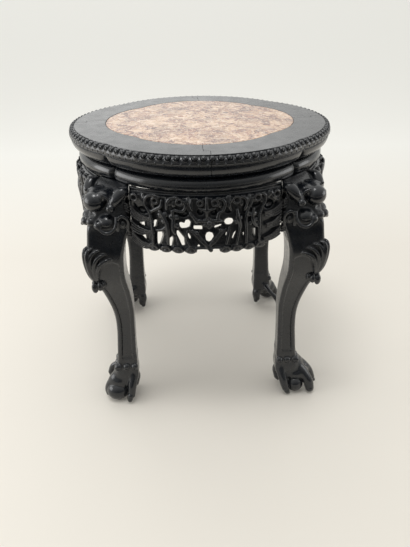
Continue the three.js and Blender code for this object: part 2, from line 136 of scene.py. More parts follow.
@dataclass(frozen=True)
class EbonisedHardwood:
    """Dense rosewood, stained black, oiled and waxed by hand.

    The eye gets a cold near-black, glossy surface: fine open pores along the grain, grey on sharp edges where
    the stain is thin, with a painted highlight there too, dull grey dust in the hollows and a sharp wax shine
    on what is round.
    """

    name: str = "ebonised_hardwood"
    stain: str = "0b0e13"
    streak: str = "13171d"
    # Grey of the sharp edges: stain rubbed thin, and a painted highlight.
    edge_wear_and_highlight: str = "2c2a2a"
    dust: str = "25272a"
    gloss: float = 0.23
    dustiness: float = 1.0

    def build(self) -> bpy.types.Material:
        """Returns the material; it reads the piece's grain, hollow and edge attributes."""
        material, tree, output = new_material(self.name)
        grain = add_node(tree, "ShaderNodeAttribute", {"attribute_name": "grain"})
        hollow = add_node(tree, "ShaderNodeAttribute", {"attribute_name": "hollow"})
        edge = add_node(tree, "ShaderNodeAttribute", {"attribute_name": "edge"})
        # Figure: streaks about 5 mm wide and 120 mm long.
        figure_scale = add_node(tree, "ShaderNodeMapping", inputs={
            "Vector": grain.outputs["Vector"], "Scale": (1 / 5, 1 / 5, 1 / 120)})
        figure = add_node(tree, "ShaderNodeTexNoise", inputs={
            "Vector": figure_scale.outputs["Vector"], "Scale": 1.0, "Detail": 4.0, "Roughness": 0.6})
        # Pores: 0.9 mm wide here, wider than the real 0.2 mm, so that they show.
        pore_scale = add_node(tree, "ShaderNodeMapping", inputs={
            "Vector": grain.outputs["Vector"], "Scale": (1 / 0.9, 1 / 0.9, 1 / 12)})
        pores = add_node(tree, "ShaderNodeTexNoise", inputs={
            "Vector": pore_scale.outputs["Vector"], "Scale": 1.0, "Detail": 2.0, "Roughness": 0.5})
        # Hand polish: soft cloudy patches of about 18 mm.
        cloud = add_node(tree, "ShaderNodeTexNoise", inputs={
            "Vector": grain.outputs["Vector"], "Scale": 1 / 18, "Detail": 3.0, "Roughness": 0.55})
        base = add_node(tree, "ShaderNodeValToRGB", inputs={"Fac": figure.outputs["Fac"]},
                        stops=((0.3, self.stain), (0.7, self.streak)))
        # Sharp edges turn grey, partly stain rubbed thin and partly a painted highlight, patchy with the
        # polish.
        edge_wear_and_highlight_mask = add_node(tree, "ShaderNodeMapRange", inputs={
            "Value": edge.outputs["Fac"], "From Min": 0.3, "From Max": 0.95, "To Min": 0.0, "To Max": 0.7})
        edge_wear_and_highlight_amount = add_node(tree, "ShaderNodeMath", {"operation": "MULTIPLY"}, {
            0: edge_wear_and_highlight_mask.outputs["Result"], 1: cloud.outputs["Fac"]})
        edge_wear_and_highlight = add_node(tree, "ShaderNodeMix", {"data_type": "RGBA"}, {
            "Factor": edge_wear_and_highlight_amount.outputs["Value"], 6: base.outputs["Color"], 7: linear(self.edge_wear_and_highlight)})
        dust_mask = add_node(tree, "ShaderNodeMapRange", inputs={
            "Value": hollow.outputs["Fac"], "From Min": 0.15, "From Max": 0.9,
            "To Min": 0.0, "To Max": 0.4 * self.dustiness})
        dusty = add_node(tree, "ShaderNodeMix", {"data_type": "RGBA"}, {
            "Factor": dust_mask.outputs["Result"], 6: edge_wear_and_highlight.outputs[2], 7: linear(self.dust)})
        rough_cloud = add_node(tree, "ShaderNodeMapRange", inputs={
            "Value": cloud.outputs["Fac"], "From Min": 0.3, "From Max": 0.7,
            "To Min": self.gloss - 0.05, "To Max": self.gloss + 0.1})
        roughness = add_node(tree, "ShaderNodeMath", {"operation": "ADD", "use_clamp": True}, {
            0: rough_cloud.outputs["Result"], 1: dust_mask.outputs["Result"]})
        relief = add_node(tree, "ShaderNodeMath", {"operation": "MULTIPLY_ADD"}, {
            0: figure.outputs["Fac"], 1: 0.5, 2: pores.outputs["Fac"]})
        bump = add_node(tree, "ShaderNodeBump", inputs={
            "Height": relief.outputs["Value"], "Strength": 0.12, "Distance": 0.3 * MM})
        shader = add_node(tree, "ShaderNodeBsdfPrincipled", inputs={
            "Base Color": dusty.outputs[2], "Roughness": roughness.outputs["Value"], "IOR": 1.5,
            "Coat Weight": 0.3, "Coat Roughness": 0.1, "Normal": bump.outputs["Normal"]})
        tree.links.new(shader.outputs["BSDF"], output.inputs["Surface"])
        return material


@dataclass(frozen=True)
class StainedInnerWood:
    """Plain hardwood of the hidden battens, splines and pegs, stained thin and left unpolished.

    The eye gets a dull dark brown with coarse straight grain.
    """

    name: str = "stained_inner_wood"
    pale: str = "4a392d"
    deep: str = "2b211c"

    def build(self) -> bpy.types.Material:
        """Returns the material, on Object coordinates in metres."""
        material, tree, output = new_material(self.name)
        place = add_node(tree, "ShaderNodeTexCoord")
        # Grain 3 mm wide and 90 mm long, along the diagonal battens.
        scale = add_node(tree, "ShaderNodeMapping", inputs={
            "Vector": place.outputs["Object"], "Rotation": (0, 0, math.radians(45)),
            "Scale": (1 / 0.09, 1 / 0.003, 1 / 0.003)})
        grain = add_node(tree, "ShaderNodeTexNoise", inputs={
            "Vector": scale.outputs["Vector"], "Scale": 1.0, "Detail": 4.0, "Roughness": 0.6})
        colour = add_node(tree, "ShaderNodeValToRGB", inputs={"Fac": grain.outputs["Fac"]},
                          stops=((0.3, self.deep), (0.7, self.pale)))
        bump = add_node(tree, "ShaderNodeBump", inputs={
            "Height": grain.outputs["Fac"], "Strength": 0.3, "Distance": 0.3 * MM})
        shader = add_node(tree, "ShaderNodeBsdfPrincipled", inputs={
            "Base Color": colour.outputs["Color"], "Roughness": 0.62, "IOR": 1.5,
            "Normal": bump.outputs["Normal"]})
        tree.links.new(shader.outputs["BSDF"], output.inputs["Surface"])
        return material


@dataclass(frozen=True)
class BrecciaMarble:
    """Breccia marble, sawn and polished: cream and rose fragments knit by brown-red veins.

    The eye gets a pale, glossy surface with patches 5 to 25 mm wide, dark veins and thin cream threads.
    """

    name: str = "breccia_marble"
    cream: str = "d0b194"
    buff: str = "bb9777"
    rose: str = "9c6f5b"
    brown: str = "633f31"
    plum: str = "46302e"
    white: str = "dfc9b4"

    def build(self) -> bpy.types.Material:
        """Returns the material, on Object coordinates in metres."""
        material, tree, output = new_material(self.name)
        place = add_node(tree, "ShaderNodeTexCoord")
        # Flow lines bend everything by up to about 15 mm.
        bend = add_node(tree, "ShaderNodeTexNoise", inputs={
            "Vector": place.outputs["Object"], "Scale": 1 / 0.03, "Detail": 4.0, "Roughness": 0.55})
        centred = add_node(tree, "ShaderNodeVectorMath", {"operation": "SUBTRACT"}, {
            0: bend.outputs["Color"], 1: (0.5, 0.5, 0.5)})
        bent = add_node(tree, "ShaderNodeVectorMath", {"operation": "MULTIPLY_ADD"}, {
            0: centred.outputs["Vector"], 1: (0.06, 0.06, 0.06), 2: place.outputs["Object"]})
        # Fragments about 16 mm across, each with its own tone.
        fragments = add_node(tree, "ShaderNodeTexVoronoi", inputs={
            "Vector": bent.outputs["Vector"], "Scale": 1 / 0.016, "Randomness": 1.0})
        tone = add_node(tree, "ShaderNodeSeparateColor", inputs={"Color": fragments.outputs["Color"]})
        mottle = add_node(tree, "ShaderNodeTexNoise", inputs={
            "Vector": bent.outputs["Vector"], "Scale": 1 / 0.009, "Detail": 6.0, "Roughness": 0.65})
        mixed_tone = add_node(tree, "ShaderNodeMath", {"operation": "MULTIPLY_ADD"}, {
            0: tone.outputs[0], 1: 0.3, 2: mottle.outputs["Fac"]})
        body = add_node(tree, "ShaderNodeValToRGB", inputs={"Fac": mixed_tone.outputs["Value"]}, stops=(
            (0.47, self.brown), (0.58, self.rose), (0.67, self.buff), (0.78, self.cream), (0.92, self.white)))
        # Veins about 2 mm wide, round patches of about 30 mm.
        border = add_node(tree, "ShaderNodeTexVoronoi", {"feature": "DISTANCE_TO_EDGE"}, {
            "Vector": bent.outputs["Vector"], "Scale": 1 / 0.03, "Randomness": 1.0})
        vein = add_node(tree, "ShaderNodeMapRange", inputs={
            "Value": border.outputs["Distance"], "From Min": 0.0, "From Max": 0.04,
            "To Min": 0.5, "To Max": 0.0})
        veined = add_node(tree, "ShaderNodeMix", {"data_type": "RGBA"}, {
            "Factor": vein.outputs["Result"], 6: body.outputs["Color"], 7: linear(self.plum)})
        # Stains of brown-red, about 45 mm across.
        blotch = add_node(tree, "ShaderNodeTexNoise", inputs={
            "Vector": bent.outputs["Vector"], "Scale": 1 / 0.045, "Detail": 5.0, "Roughness": 0.6})
        stain = add_node(tree, "ShaderNodeMapRange", inputs={
            "Value": blotch.outputs["Fac"], "From Min": 0.48, "From Max": 0.66,
            "To Min": 0.0, "To Max": 0.75})
        stained = add_node(tree, "ShaderNodeMix", {"data_type": "RGBA"}, {
            "Factor": stain.outputs["Result"], 6: veined.outputs[2], 7: linear(self.brown)})
        # Thin cream threads of healed cracks, 12 mm apart.
        threads = add_node(tree, "ShaderNodeTexVoronoi", {"feature": "DISTANCE_TO_EDGE"}, {
            "Vector": bent.outputs["Vector"], "Scale": 1 / 0.012, "Randomness": 1.0})
        thread = add_node(tree, "ShaderNodeMapRange", inputs={
            "Value": threads.outputs["Distance"], "From Min": 0.0, "From Max": 0.07,
            "To Min": 0.8, "To Max": 0.0})
        threaded = add_node(tree, "ShaderNodeMix", {"data_type": "RGBA"}, {
            "Factor": thread.outputs["Result"], 6: stained.outputs[2], 7: linear(self.white)})
        shader = add_node(tree, "ShaderNodeBsdfPrincipled", inputs={
            "Base Color": threaded.outputs[2], "Roughness": 0.22, "IOR": 1.55,
            "Subsurface Weight": 0.06, "Subsurface Radius": (0.006, 0.005, 0.004)})
        tree.links.new(shader.outputs["BSDF"], output.inputs["Surface"])
        return material


@dataclass(frozen=True)
class StudioSurface:
    """Matt painted floor or cloth of the studio, with another tone towards the back."""

    name: str = "studio_floor"
    tone: str = "dcd7ce"
    far: str = "f0efea"

    def build(self) -> bpy.types.Material:
        """Returns a plain matt material with a trace of grain."""
        material, tree, output = new_material(self.name)
        place = add_node(tree, "ShaderNodeTexCoord")
        haze = add_node(tree, "ShaderNodeTexNoise", inputs={
            "Vector": place.outputs["Object"], "Scale": 1 / 0.2, "Detail": 3.0})
        bump = add_node(tree, "ShaderNodeBump", inputs={
            "Height": haze.outputs["Fac"], "Strength": 0.05, "Distance": MM})
        parts = add_node(tree, "ShaderNodeSeparateXYZ", inputs={"Vector": place.outputs["Object"]})
        depth = add_node(tree, "ShaderNodeMapRange", inputs={
            "Value": parts.outputs["Y"], "From Min": 0.4, "From Max": 1.4})
        paint = add_node(tree, "ShaderNodeMix", {"data_type": "RGBA"}, {
            "Factor": depth.outputs["Result"], 6: linear(self.tone), 7: linear(self.far)})
        shader = add_node(tree, "ShaderNodeBsdfPrincipled", inputs={
            "Base Color": paint.outputs[2], "Roughness": 0.7, "Normal": bump.outputs["Normal"]})
        tree.links.new(shader.outputs["BSDF"], output.inputs["Surface"])
        return material


def make_object(name: str, points: np.ndarray, faces: Sequence, material: bpy.types.Material,
                sharp: float | None = None) -> bpy.types.Object:
    """Makes a mesh object from points in millimetres.

    Args:
        name: name of the piece.
        points: rows of X, Y, Z.
        faces: rows of point numbers, outward order.
        material: its finish.
        sharp: edges bent by more than this many degrees stay sharp; None keeps all smooth.

    Returns:
        The object, at the origin.
    """
    mesh = bpy.data.meshes.new(name)
    if isinstance(faces, np.ndarray):
        mesh.vertices.add(len(points))
        mesh.vertices.foreach_set("co", (points * MM).astype(np.float32).ravel())
        width = faces.shape[1]
        mesh.loops.add(faces.size)
        mesh.loops.foreach_set("vertex_index", faces.astype(np.int32).ravel())
        mesh.polygons.add(len(faces))
        mesh.polygons.foreach_set("loop_start", np.arange(0, faces.size, width, dtype=np.int32))
        mesh.update(calc_edges=True)
    else:
        mesh.from_pydata((np.asarray(points) * MM).tolist(), [], faces)
    mesh.validate()
    mesh.shade_smooth()
    if sharp is not None:
        mesh.set_sharp_from_angle(angle=math.radians(sharp))
    mesh.materials.append(material)
    piece = bpy.data.objects.new(name, mesh)
    bpy.context.scene.collection.objects.link(piece)
    return piece


def store_attribute(mesh: bpy.types.Mesh, name: str, values: np.ndarray) -> None:
    """Keeps a number or a vector for each point of a mesh.

    Args:
        mesh: the mesh.
        name: the attribute's name.
        values: one row for each point.
    """
    kind, slot = ("FLOAT_VECTOR", "vector") if values.ndim == 2 else ("FLOAT", "value")
    attribute = mesh.attributes.new(name, kind, "POINT")
    attribute.data.foreach_set(slot, values.astype(np.float32).ravel())


def mesh_points(mesh: bpy.types.Mesh) -> np.ndarray:
    """Returns the points of a mesh in millimetres, one row each."""
    points = np.empty(len(mesh.vertices) * 3, np.float32)
    mesh.vertices.foreach_get("co", points)
    return points.reshape(-1, 3).astype(float) / MM


def quarter_turn(points: np.ndarray, turns: float) -> np.ndarray:
    """Turns rows of X, Y, Z about the middle of the top by a number of quarter turns."""
    angle = turns * math.pi / 2
    cos, sin = math.cos(angle), math.sin(angle)
    turned = points.copy()
    turned[:, 0] = cos * points[:, 0] - sin * points[:, 1]
    turned[:, 1] = sin * points[:, 0] + cos * points[:, 1]
    return turned


def smooth_path(points: Sequence[Sequence[float]], pieces: int = 6) -> np.ndarray:
    """Rounds a path of rows of numbers into a smooth one that passes through them.

    Args:
        points: rows of numbers; the first and last are kept.
        pieces: how many parts each span is split into.

    Returns:
        The finer rows.
    """
    rows = np.asarray(points, float)
    padded = np.vstack([2 * rows[0] - rows[1], rows, 2 * rows[-1] - rows[-2]])
    share = np.linspace(0, 1, pieces, endpoint=False)[:, None]
    spans = []
    for at in range(1, len(padded) - 2):
        before, start, end, after = padded[at - 1:at + 3]
        spans.append(0.5 * (2 * start + (end - before) * share
                            + (2 * before - 5 * start + 4 * end - after) * share ** 2
                            + (3 * start - before - 3 * end + after) * share ** 3))
    return np.vstack([*spans, rows[-1:]])


class Form:
    """A form that is added to a carving or cut from it, as a distance to its surface."""

    def reach(self) -> tuple[np.ndarray, np.ndarray]:
        """Returns the lowest and highest corner of the form."""
        raise NotImplementedError

    def distance(self, x: np.ndarray, y: np.ndarray, z: np.ndarray) -> np.ndarray:
        """Returns how far points are outside the form; negative inside."""
        raise NotImplementedError

    def swapped(self) -> "Form":
        """Returns the form's mirror image across the diagonal plane X = Y."""
        raise NotImplementedError


@dataclass
class Blob(Form):
    """An egg shape with its centre and three radii; swap mirrors it across the diagonal plane."""

    centre: Point
    radii: Point
    swap: bool = False

    def reach(self) -> tuple[np.ndarray, np.ndarray]:
        """Returns the lowest and highest corner of the form."""
        middle = np.array(self.centre, float)
        if self.swap:
            middle[[0, 1]] = middle[[1, 0]]
        return middle - max(self.radii), middle + max(self.radii)

    def distance(self, x: np.ndarray, y: np.ndarray, z: np.ndarray) -> np.ndarray:
        """Returns how far points are outside the form; negative inside."""
        if self.swap:
            x, y = y, x
        inner = outer = 0.0
        for place, middle, radius in zip((x, y, z), self.centre, self.radii):
            inner = inner + ((place - middle) / radius) ** 2
            outer = outer + ((place - middle) / radius ** 2) ** 2
        inner = np.sqrt(inner)
        return inner * (inner - 1) / np.maximum(np.sqrt(outer), 1e-6)

    def swapped(self) -> "Blob":
        """Returns the form's mirror image across the diagonal plane X = Y."""
        return Blob(self.centre, self.radii, not self.swap)


@dataclass
class Stroke(Form):
    """A rounded stroke of a gouge or a stem: a smooth path of X, Y, Z and radius.

    The path is rounded in some pieces for each span, may be closed, and squash is the stroke's
    thickness along Y against its width.
    """

    path: Sequence[Sequence[float]]
    pieces: int = 5
    squash: float = 1.0
    closed: bool = False

    def __post_init__(self) -> None:
        """Rounds the path."""
        rows = list(self.path)
        if self.closed:
            rows = [*rows, rows[0]]
        self.rows = smooth_path(rows, self.pieces)

    def reach(self) -> tuple[np.ndarray, np.ndarray]:
        """Returns the lowest and highest corner of the form."""
        most = self.rows[:, 3].max()
        return self.rows[:, :3].min(0) - most, self.rows[:, :3].max(0) + most

    def distance(self, x: np.ndarray, y: np.ndarray, z: np.ndarray) -> np.ndarray:
        """Returns how far points are outside the form; negative inside."""
        flat = 1 / self.squash
        y = y * flat
        nearest = None
        for start, end in zip(self.rows[:-1], self.rows[1:]):
            a, b = start[:3] * (1, flat, 1), end[:3] * (1, flat, 1)
            arm = b - a
            square = max(float(arm @ arm), 1e-9)
            share = ((x - a[0]) * arm[0] + (y - a[1]) * arm[1] + (z - a[2]) * arm[2]) / square
            share = np.clip(share, 0, 1)
            gap = np.sqrt((x - a[0] - share * arm[0]) ** 2 + (y - a[1] - share * arm[1]) ** 2
                          + (z - a[2] - share * arm[2]) ** 2)
            gap = gap - (start[3] + share * (end[3] - start[3]))
            nearest = gap if nearest is None else np.minimum(nearest, gap)
        return nearest * min(1.0, self.squash)

    def swapped(self) -> "Stroke":
        """Returns the form's mirror image across the diagonal plane X = Y."""
        path = [(y, x, z, size) for x, y, z, size in self.path]
        return Stroke(path, self.pieces, self.squash, self.closed)


class CarvingBlock:
    """A block of wood as distances on a grid of points, from which a closed mesh is cut."""

    FAR = 30.0

    def __init__(self, axes: Sequence[np.ndarray], lean: Callable[[np.ndarray], np.ndarray] | None = None):
        """Starts an empty block.

        Args:
            axes: the rising X, Y and Z places of its points.
            lean: how far its points stand out along X and Y at a height.
        """
        self.axes = [np.asarray(axis, float) for axis in axes]
        self.lean = lean or (lambda z: np.zeros_like(z))
        self.offset = self.lean(self.axes[2])
        self.field = np.full([len(axis) for axis in self.axes], self.FAR, np.float32)

    def places(self, window: tuple[slice, slice, slice] | None = None) -> tuple:
        """Returns true X, Y and Z of the points in a window, ready to combine."""
        xs, ys, zs = window or (slice(None),) * 3
        lean = self.offset[zs][None, None, :]
        x = self.axes[0][xs][:, None, None] + lean
        y = self.axes[1][ys][None, :, None] + lean
        return x, y, self.axes[2][zs][None, None, :]

    def window(self, form: Form, margin: float, leaning: bool) -> tuple[slice, slice, slice]:
        """Returns the part of the grid that a form can change."""
        low, high = form.reach()
        slices = []
        zs = slice(*np.searchsorted(self.axes[2], (low[2] - margin, high[2] + margin)))
        offsets = self.offset[zs] if zs.stop > zs.start else np.zeros(1)
        for axis in (0, 1):
            near, far = (offsets.max(), offsets.min()) if leaning else (0.0, 0.0)
            slices.append(slice(*np.searchsorted(
                self.axes[axis], (low[axis] - near - margin, high[axis] - far + margin))))
        return slices[0], slices[1], zs

    def change(self, form: Form, soft: float, cutting: bool, leaning: bool = True) -> None:
        """Adds or cuts one form.

        Args:
            form: the form.
            soft: how widely it melts into what is there, in millimetres.
            cutting: whether it is cut away.
            leaning: whether its places are true ones; otherwise they are the block's own.
        """
        window = self.window(form, 8 + soft, leaning)
        if any(part.stop <= part.start for part in window):
            return
        if leaning:
            x, y, z = self.places(window)
        else:
            x = self.axes[0][window[0]][:, None, None]
            y = self.axes[1][window[1]][None, :, None]
            z = self.axes[2][window[2]][None, None, :]
        new = form.distance(x, y, z)
        old = self.field[window]
        if cutting:
            self.field[window] = -smooth_least(-old, new, soft)
        else:
            self.field[window] = smooth_least(old, new, soft)

    def add(self, *forms: Form, soft: float = 2.0, both: bool = False, leaning: bool = True) -> None:
        """Adds forms, with their mirror images across the diagonal if both are wanted."""
        self.change_all(forms, soft, False, both, leaning)

    def cut(self, *forms: Form, soft: float = 1.0, both: bool = False, leaning: bool = True) -> None:
        """Cuts forms away, with their mirror images across the diagonal if both are wanted."""
        self.change_all(forms, soft, True, both, leaning)

    def change_all(self, forms: Sequence[Form], soft: float, cutting: bool, both: bool,
                   leaning: bool) -> None:
        """Adds or cuts forms one after another.

        Args:
            forms: the forms.
            soft: how widely each melts into what is there, in millimetres.
            cutting: whether they are cut away.
            both: whether each form's mirror image follows it.
            leaning: whether their places are true ones; otherwise they are the block's own.
        """
        for form in forms:
            self.change(form, soft, cutting, leaning)
            if both:
                self.change(form.swapped(), soft, cutting, leaning)

    def sample(self, places: np.ndarray) -> np.ndarray:
        """Returns the distance at rows of grid places (fractions of a step), by blending neighbours."""
        limits = np.array(self.field.shape) - 1.001
        places = np.clip(places, 0, limits)
        base = places.astype(int)
        share = places - base
        total = np.zeros(len(places))
        for corner in CELL_CORNERS:
            weight = np.prod(np.where(corner == 1, share, 1 - share), axis=1)
            at = base + corner
            total += weight * self.field[at[:, 0], at[:, 1], at[:, 2]]
        return total

    def cut_out(self) -> tuple[np.ndarray, np.ndarray, np.ndarray, np.ndarray]:
        """Finds the surface.

        Returns:
            Points in true places, faces of four, how hollow each point lies and how sharp.
        """
        self.field[[0, -1]] = np.maximum(self.field[[0, -1]], 0.5)
        self.field[:, [0, -1]] = np.maximum(self.field[:, [0, -1]], 0.5)
        self.field[:, :, [0, -1]] = np.maximum(self.field[:, :, [0, -1]], 0.5)
        inside = self.field < 0
        cells = tuple(size - 1 for size in self.field.shape)
        count = np.zeros(cells, np.int8)
        for i, j, k in CELL_CORNERS:
            count += inside[i:i + cells[0], j:j + cells[1], k:k + cells[2]]
        cell = np.argwhere((count > 0) & (count < 8))
        number = np.full(cells, -1, np.int32)
        number[cell[:, 0], cell[:, 1], cell[:, 2]] = np.arange(len(cell))
        values = np.stack([self.field[cell[:, 0] + i, cell[:, 1] + j, cell[:, 2] + k]
                           for i, j, k in CELL_CORNERS], axis=1)
        total = np.zeros((len(cell), 3))
        crossings = np.zeros(len(cell))
        for a in range(8):
            for b in range(a + 1, 8):
                if np.abs(CELL_CORNERS[a] - CELL_CORNERS[b]).sum() != 1:
                    continue
                crossed = (values[:, a] < 0) != (values[:, b] < 0)
                span = values[:, b] - values[:, a]
                share = np.where(crossed, -values[:, a] / np.where(span == 0, 1, span), 0)
                total += crossed[:, None] * (CELL_CORNERS[a]
                                             + share[:, None] * (CELL_CORNERS[b] - CELL_CORNERS[a]))
                crossings += crossed
        grid = cell + total / crossings[:, None]
        faces = []
        for axis in range(3):
            u, v = (axis + 1) % 3, (axis + 2) % 3
            low = [slice(1, -1)] * 3
            low[axis] = slice(0, -1)
            high = list(low)
            high[axis] = slice(1, None)
            start, end = inside[tuple(low)], inside[tuple(high)]
            for rising in (True, False):
                edge = np.argwhere(start & ~end if rising else ~start & end)
                edge[:, u] += 1
                edge[:, v] += 1
                ring = []
                for du, dv in ((0, 0), (-1, 0), (-1, -1), (0, -1)):
                    at = edge.copy()
                    at[:, u] += du
                    at[:, v] += dv
                    ring.append(number[at[:, 0], at[:, 1], at[:, 2]])
                faces.append(np.stack(ring if rising else ring[::-1], axis=1))
        steps = [float(np.median(np.diff(axis))) for axis in self.axes]
        slope = np.stack([self.sample(grid + np.eye(3)[axis]) - self.sample(grid - np.eye(3)[axis])
                          for axis in range(3)], axis=1)
        slope /= np.maximum(np.linalg.norm(slope, axis=1, keepdims=True), 1e-6)
        ahead = self.sample(grid + slope * 4.0 / np.array(steps))
        behind = self.sample(grid - slope * 2.5 / np.array(steps))
        hollow = np.clip(1 - ahead / 4.0, 0, 1)
        edge_sharpness = np.clip(1 + behind / 2.5, 0, 1)
        points = np.stack([np.interp(grid[:, axis], np.arange(len(self.axes[axis])), self.axes[axis])
                           for axis in range(3)], axis=1)
        lean = self.lean(points[:, 2])
        points[:, 0] += lean
        points[:, 1] += lean
        return points, np.vstack(faces), hollow, edge_sharpness


def smooth_least(a: np.ndarray, b: np.ndarray, soft: float) -> np.ndarray:
    """Returns the lesser of two distances, with the join between their surfaces rounded.

    Args:
        a: one distance.
        b: the other.
        soft: width of the rounding.

    Returns:
        The joined distance.
    """
    if soft <= 0:
        return np.minimum(a, b)
    share = np.clip(0.5 + 0.5 * (a - b) / soft, 0, 1)
    return a * (1 - share) + b * share - soft * share * (1 - share)


def soft_step(low: float, high: float, x: np.ndarray) -> np.ndarray:
    """Returns 0 below low, 1 above high and a smooth rise between."""
    share = np.clip((x - low) / (high - low), 0, 1)
    return share * share * (3 - 2 * share)


def polygon_distance(corners: Sequence[tuple[float, float]], x: np.ndarray, y: np.ndarray) -> np.ndarray:
    """Returns how far points of a plane are outside a polygon; negative inside."""
    corners = np.asarray(corners, float)
    nearest = np.full(np.broadcast(x, y).shape, np.inf)
    inside = np.zeros(nearest.shape, bool)
    for a, b in zip(corners, np.roll(corners, -1, axis=0)):
        arm = b - a
        share = np.clip(((x - a[0]) * arm[0] + (y - a[1]) * arm[1]) / (arm @ arm), 0, 1)
        nearest = np.minimum(nearest, (x - a[0] - share * arm[0]) ** 2 + (y - a[1] - share * arm[1]) ** 2)
        crosses = (a[1] > y) != (b[1] > y)
        slope = np.where(b[1] == a[1], 1e-9, b[1] - a[1])
        inside ^= crosses & (x < (b[0] - a[0]) * (y - a[1]) / slope + a[0])
    return np.where(inside, -1, 1) * np.sqrt(nearest)


@dataclass
class FourLobedPlan:
    """The four-lobed outline of the top and the mouldings that follow it, in millimetres."""

    half_width: float = 211.0
    lobe_offset: float = 30.0
    cusp_radius: float = 200.0
    crease_width: float = 3.6
    crease_end: tuple[float, float] = (14.0, 24.0)
    crease_top: float = 439.0

    def radius(self, inset: np.ndarray | float, angle: np.ndarray | float) -> np.ndarray:
        """Returns the distance from the middle to the outline that lies a given inset inside the edge."""
        quarter = math.pi / 2
        from_lobe = angle - quarter * np.round(np.asarray(angle) / quarter)
        arc = self.half_width - self.lobe_offset - inset
        across = self.lobe_offset * np.sin(from_lobe)
        return self.lobe_offset * np.cos(from_lobe) + np.sqrt(arc ** 2 - across ** 2)

    def sweep(self, section: Sequence[tuple[float, float]], angles: np.ndarray,
              closed: bool, crease: float = 0.0) -> tuple[np.ndarray, list]:
        """Sweeps a section of inset and height round the outline.

        Args:
            section: points of the section, going outward, down and back inward.
            angles: where the section stands, in radians.
            closed: whether the last section joins the first.
            crease: extra depth of the notch between two lobes, on the outer mouldings.

        Returns:
            Points and faces.
        """
        rows = np.asarray(section, float)
        count = len(rows)
        rings = []
        # The notch fades out towards the neck and up towards the beads.
        outer = 1 - soft_step(*self.crease_end, rows[:, 0])
        lower = soft_step(0, 10, self.crease_top - rows[:, 1])
        for angle in angles:
            from_cusp = abs(math.remainder(angle - math.pi / 4, math.pi / 2)) * self.cusp_radius
            notch = crease * math.exp(-from_cusp / self.crease_width)
            radius = self.radius(rows[:, 0], angle) - notch * outer * lower
            rings.append(np.stack([radius * math.cos(angle), radius * math.sin(angle), rows[:, 1]], axis=1))
        faces: list = []
        spans = len(angles) if closed else len(angles) - 1
        for span in range(spans):
            here, after = span * count, ((span + 1) % len(angles)) * count
            for side in range(count):
                far = (side + 1) % count
                faces.append((here + side, here + far, after + far, after + side))
        if not closed:
            faces.append(tuple(range(count - 1, -1, -1)))
            last = (len(angles) - 1) * count
            faces.append(tuple(last + side for side in range(count)))
        return np.vstack(rings), faces


def arc_points(centre: tuple[float, float], radii: tuple[float, float], start: float, end: float,
               steps: int) -> list[tuple[float, float]]:
    """Returns points of an arc in a moulding's section, angles in degrees; 0 points to the edge."""
    angles = np.radians(np.linspace(start, end, steps + 1))
    return [(centre[0] - radii[0] * math.cos(a), centre[1] + radii[1] * math.sin(a)) for a in angles]


def wood_grain(points: np.ndarray, along: tuple[float, float, float]) -> np.ndarray:
    """Returns for each point its place with the grain's direction as the third number, in millimetres."""
    axis = Vector(along).normalized()
    aside = axis.orthogonal().normalized()
    rows = np.array([aside, axis.cross(aside), axis])
    return points @ rows.T


def finish_plain(piece: bpy.types.Object, along: tuple[float, float, float]) -> None:
    """Gives a moulded piece the attributes that the wood reads, with the grain along a direction."""
    mesh = piece.data
    points = mesh_points(mesh)
    store_attribute(mesh, "grain", wood_grain(points, along))
    for name in ("hollow", "edge"):
        if name not in mesh.attributes:
            store_attribute(mesh, name, np.zeros(len(points)))


def block_piece(name: str, centre: Point, size: Point, turn: float = 0.0) -> bpy.types.Object:
    """Makes a plain block that only serves to cut a joint.

    Args:
        name: its name.
        centre: its middle in millimetres.
        size: its sizes.
        turn: turn about Z through the middle of the top, in degrees.

    Returns:
        The object.
    """
    corners = np.array([(x, y, z) for x in (-0.5, 0.5) for y in (-0.5, 0.5) for z in (-0.5, 0.5)])
    points = quarter_turn(corners * size + centre, turn / 90)
    faces = [(0, 1, 3, 2), (4, 6, 7, 5), (0, 4, 5, 1), (2, 3, 7, 6), (0, 2, 6, 4), (1, 5, 7, 3)]
    mesh = bpy.data.meshes.new(name)
    mesh.from_pydata((points * MM).tolist(), [], faces)
    piece = bpy.data.objects.new(name, mesh)
    bpy.context.scene.collection.objects.link(piece)
    return piece


def boolean(piece: bpy.types.Object, cutter: bpy.types.Object, operation: str) -> None:
    """Cuts a piece with another and keeps the result as a plain mesh.

    Args:
        piece: the piece that changes.
        cutter: the piece that cuts; it is removed.
        operation: DIFFERENCE or INTERSECT.
    """
    modifier = piece.modifiers.new("joint", "BOOLEAN")
    modifier.operation = operation
    modifier.solver = "MANIFOLD"
    modifier.object = cutter
    graph = bpy.context.evaluated_depsgraph_get()
    made = bpy.data.meshes.new_from_object(piece.evaluated_get(graph), depsgraph=graph)
    piece.modifiers.clear()
    old, piece.data = piece.data, made
    bpy.data.meshes.remove(old)
    remove_piece(cutter)


def remove_piece(piece: bpy.types.Object) -> None:
    """Removes a helper object and its mesh."""
    mesh = piece.data
    bpy.data.objects.remove(piece)
    bpy.data.meshes.remove(mesh)


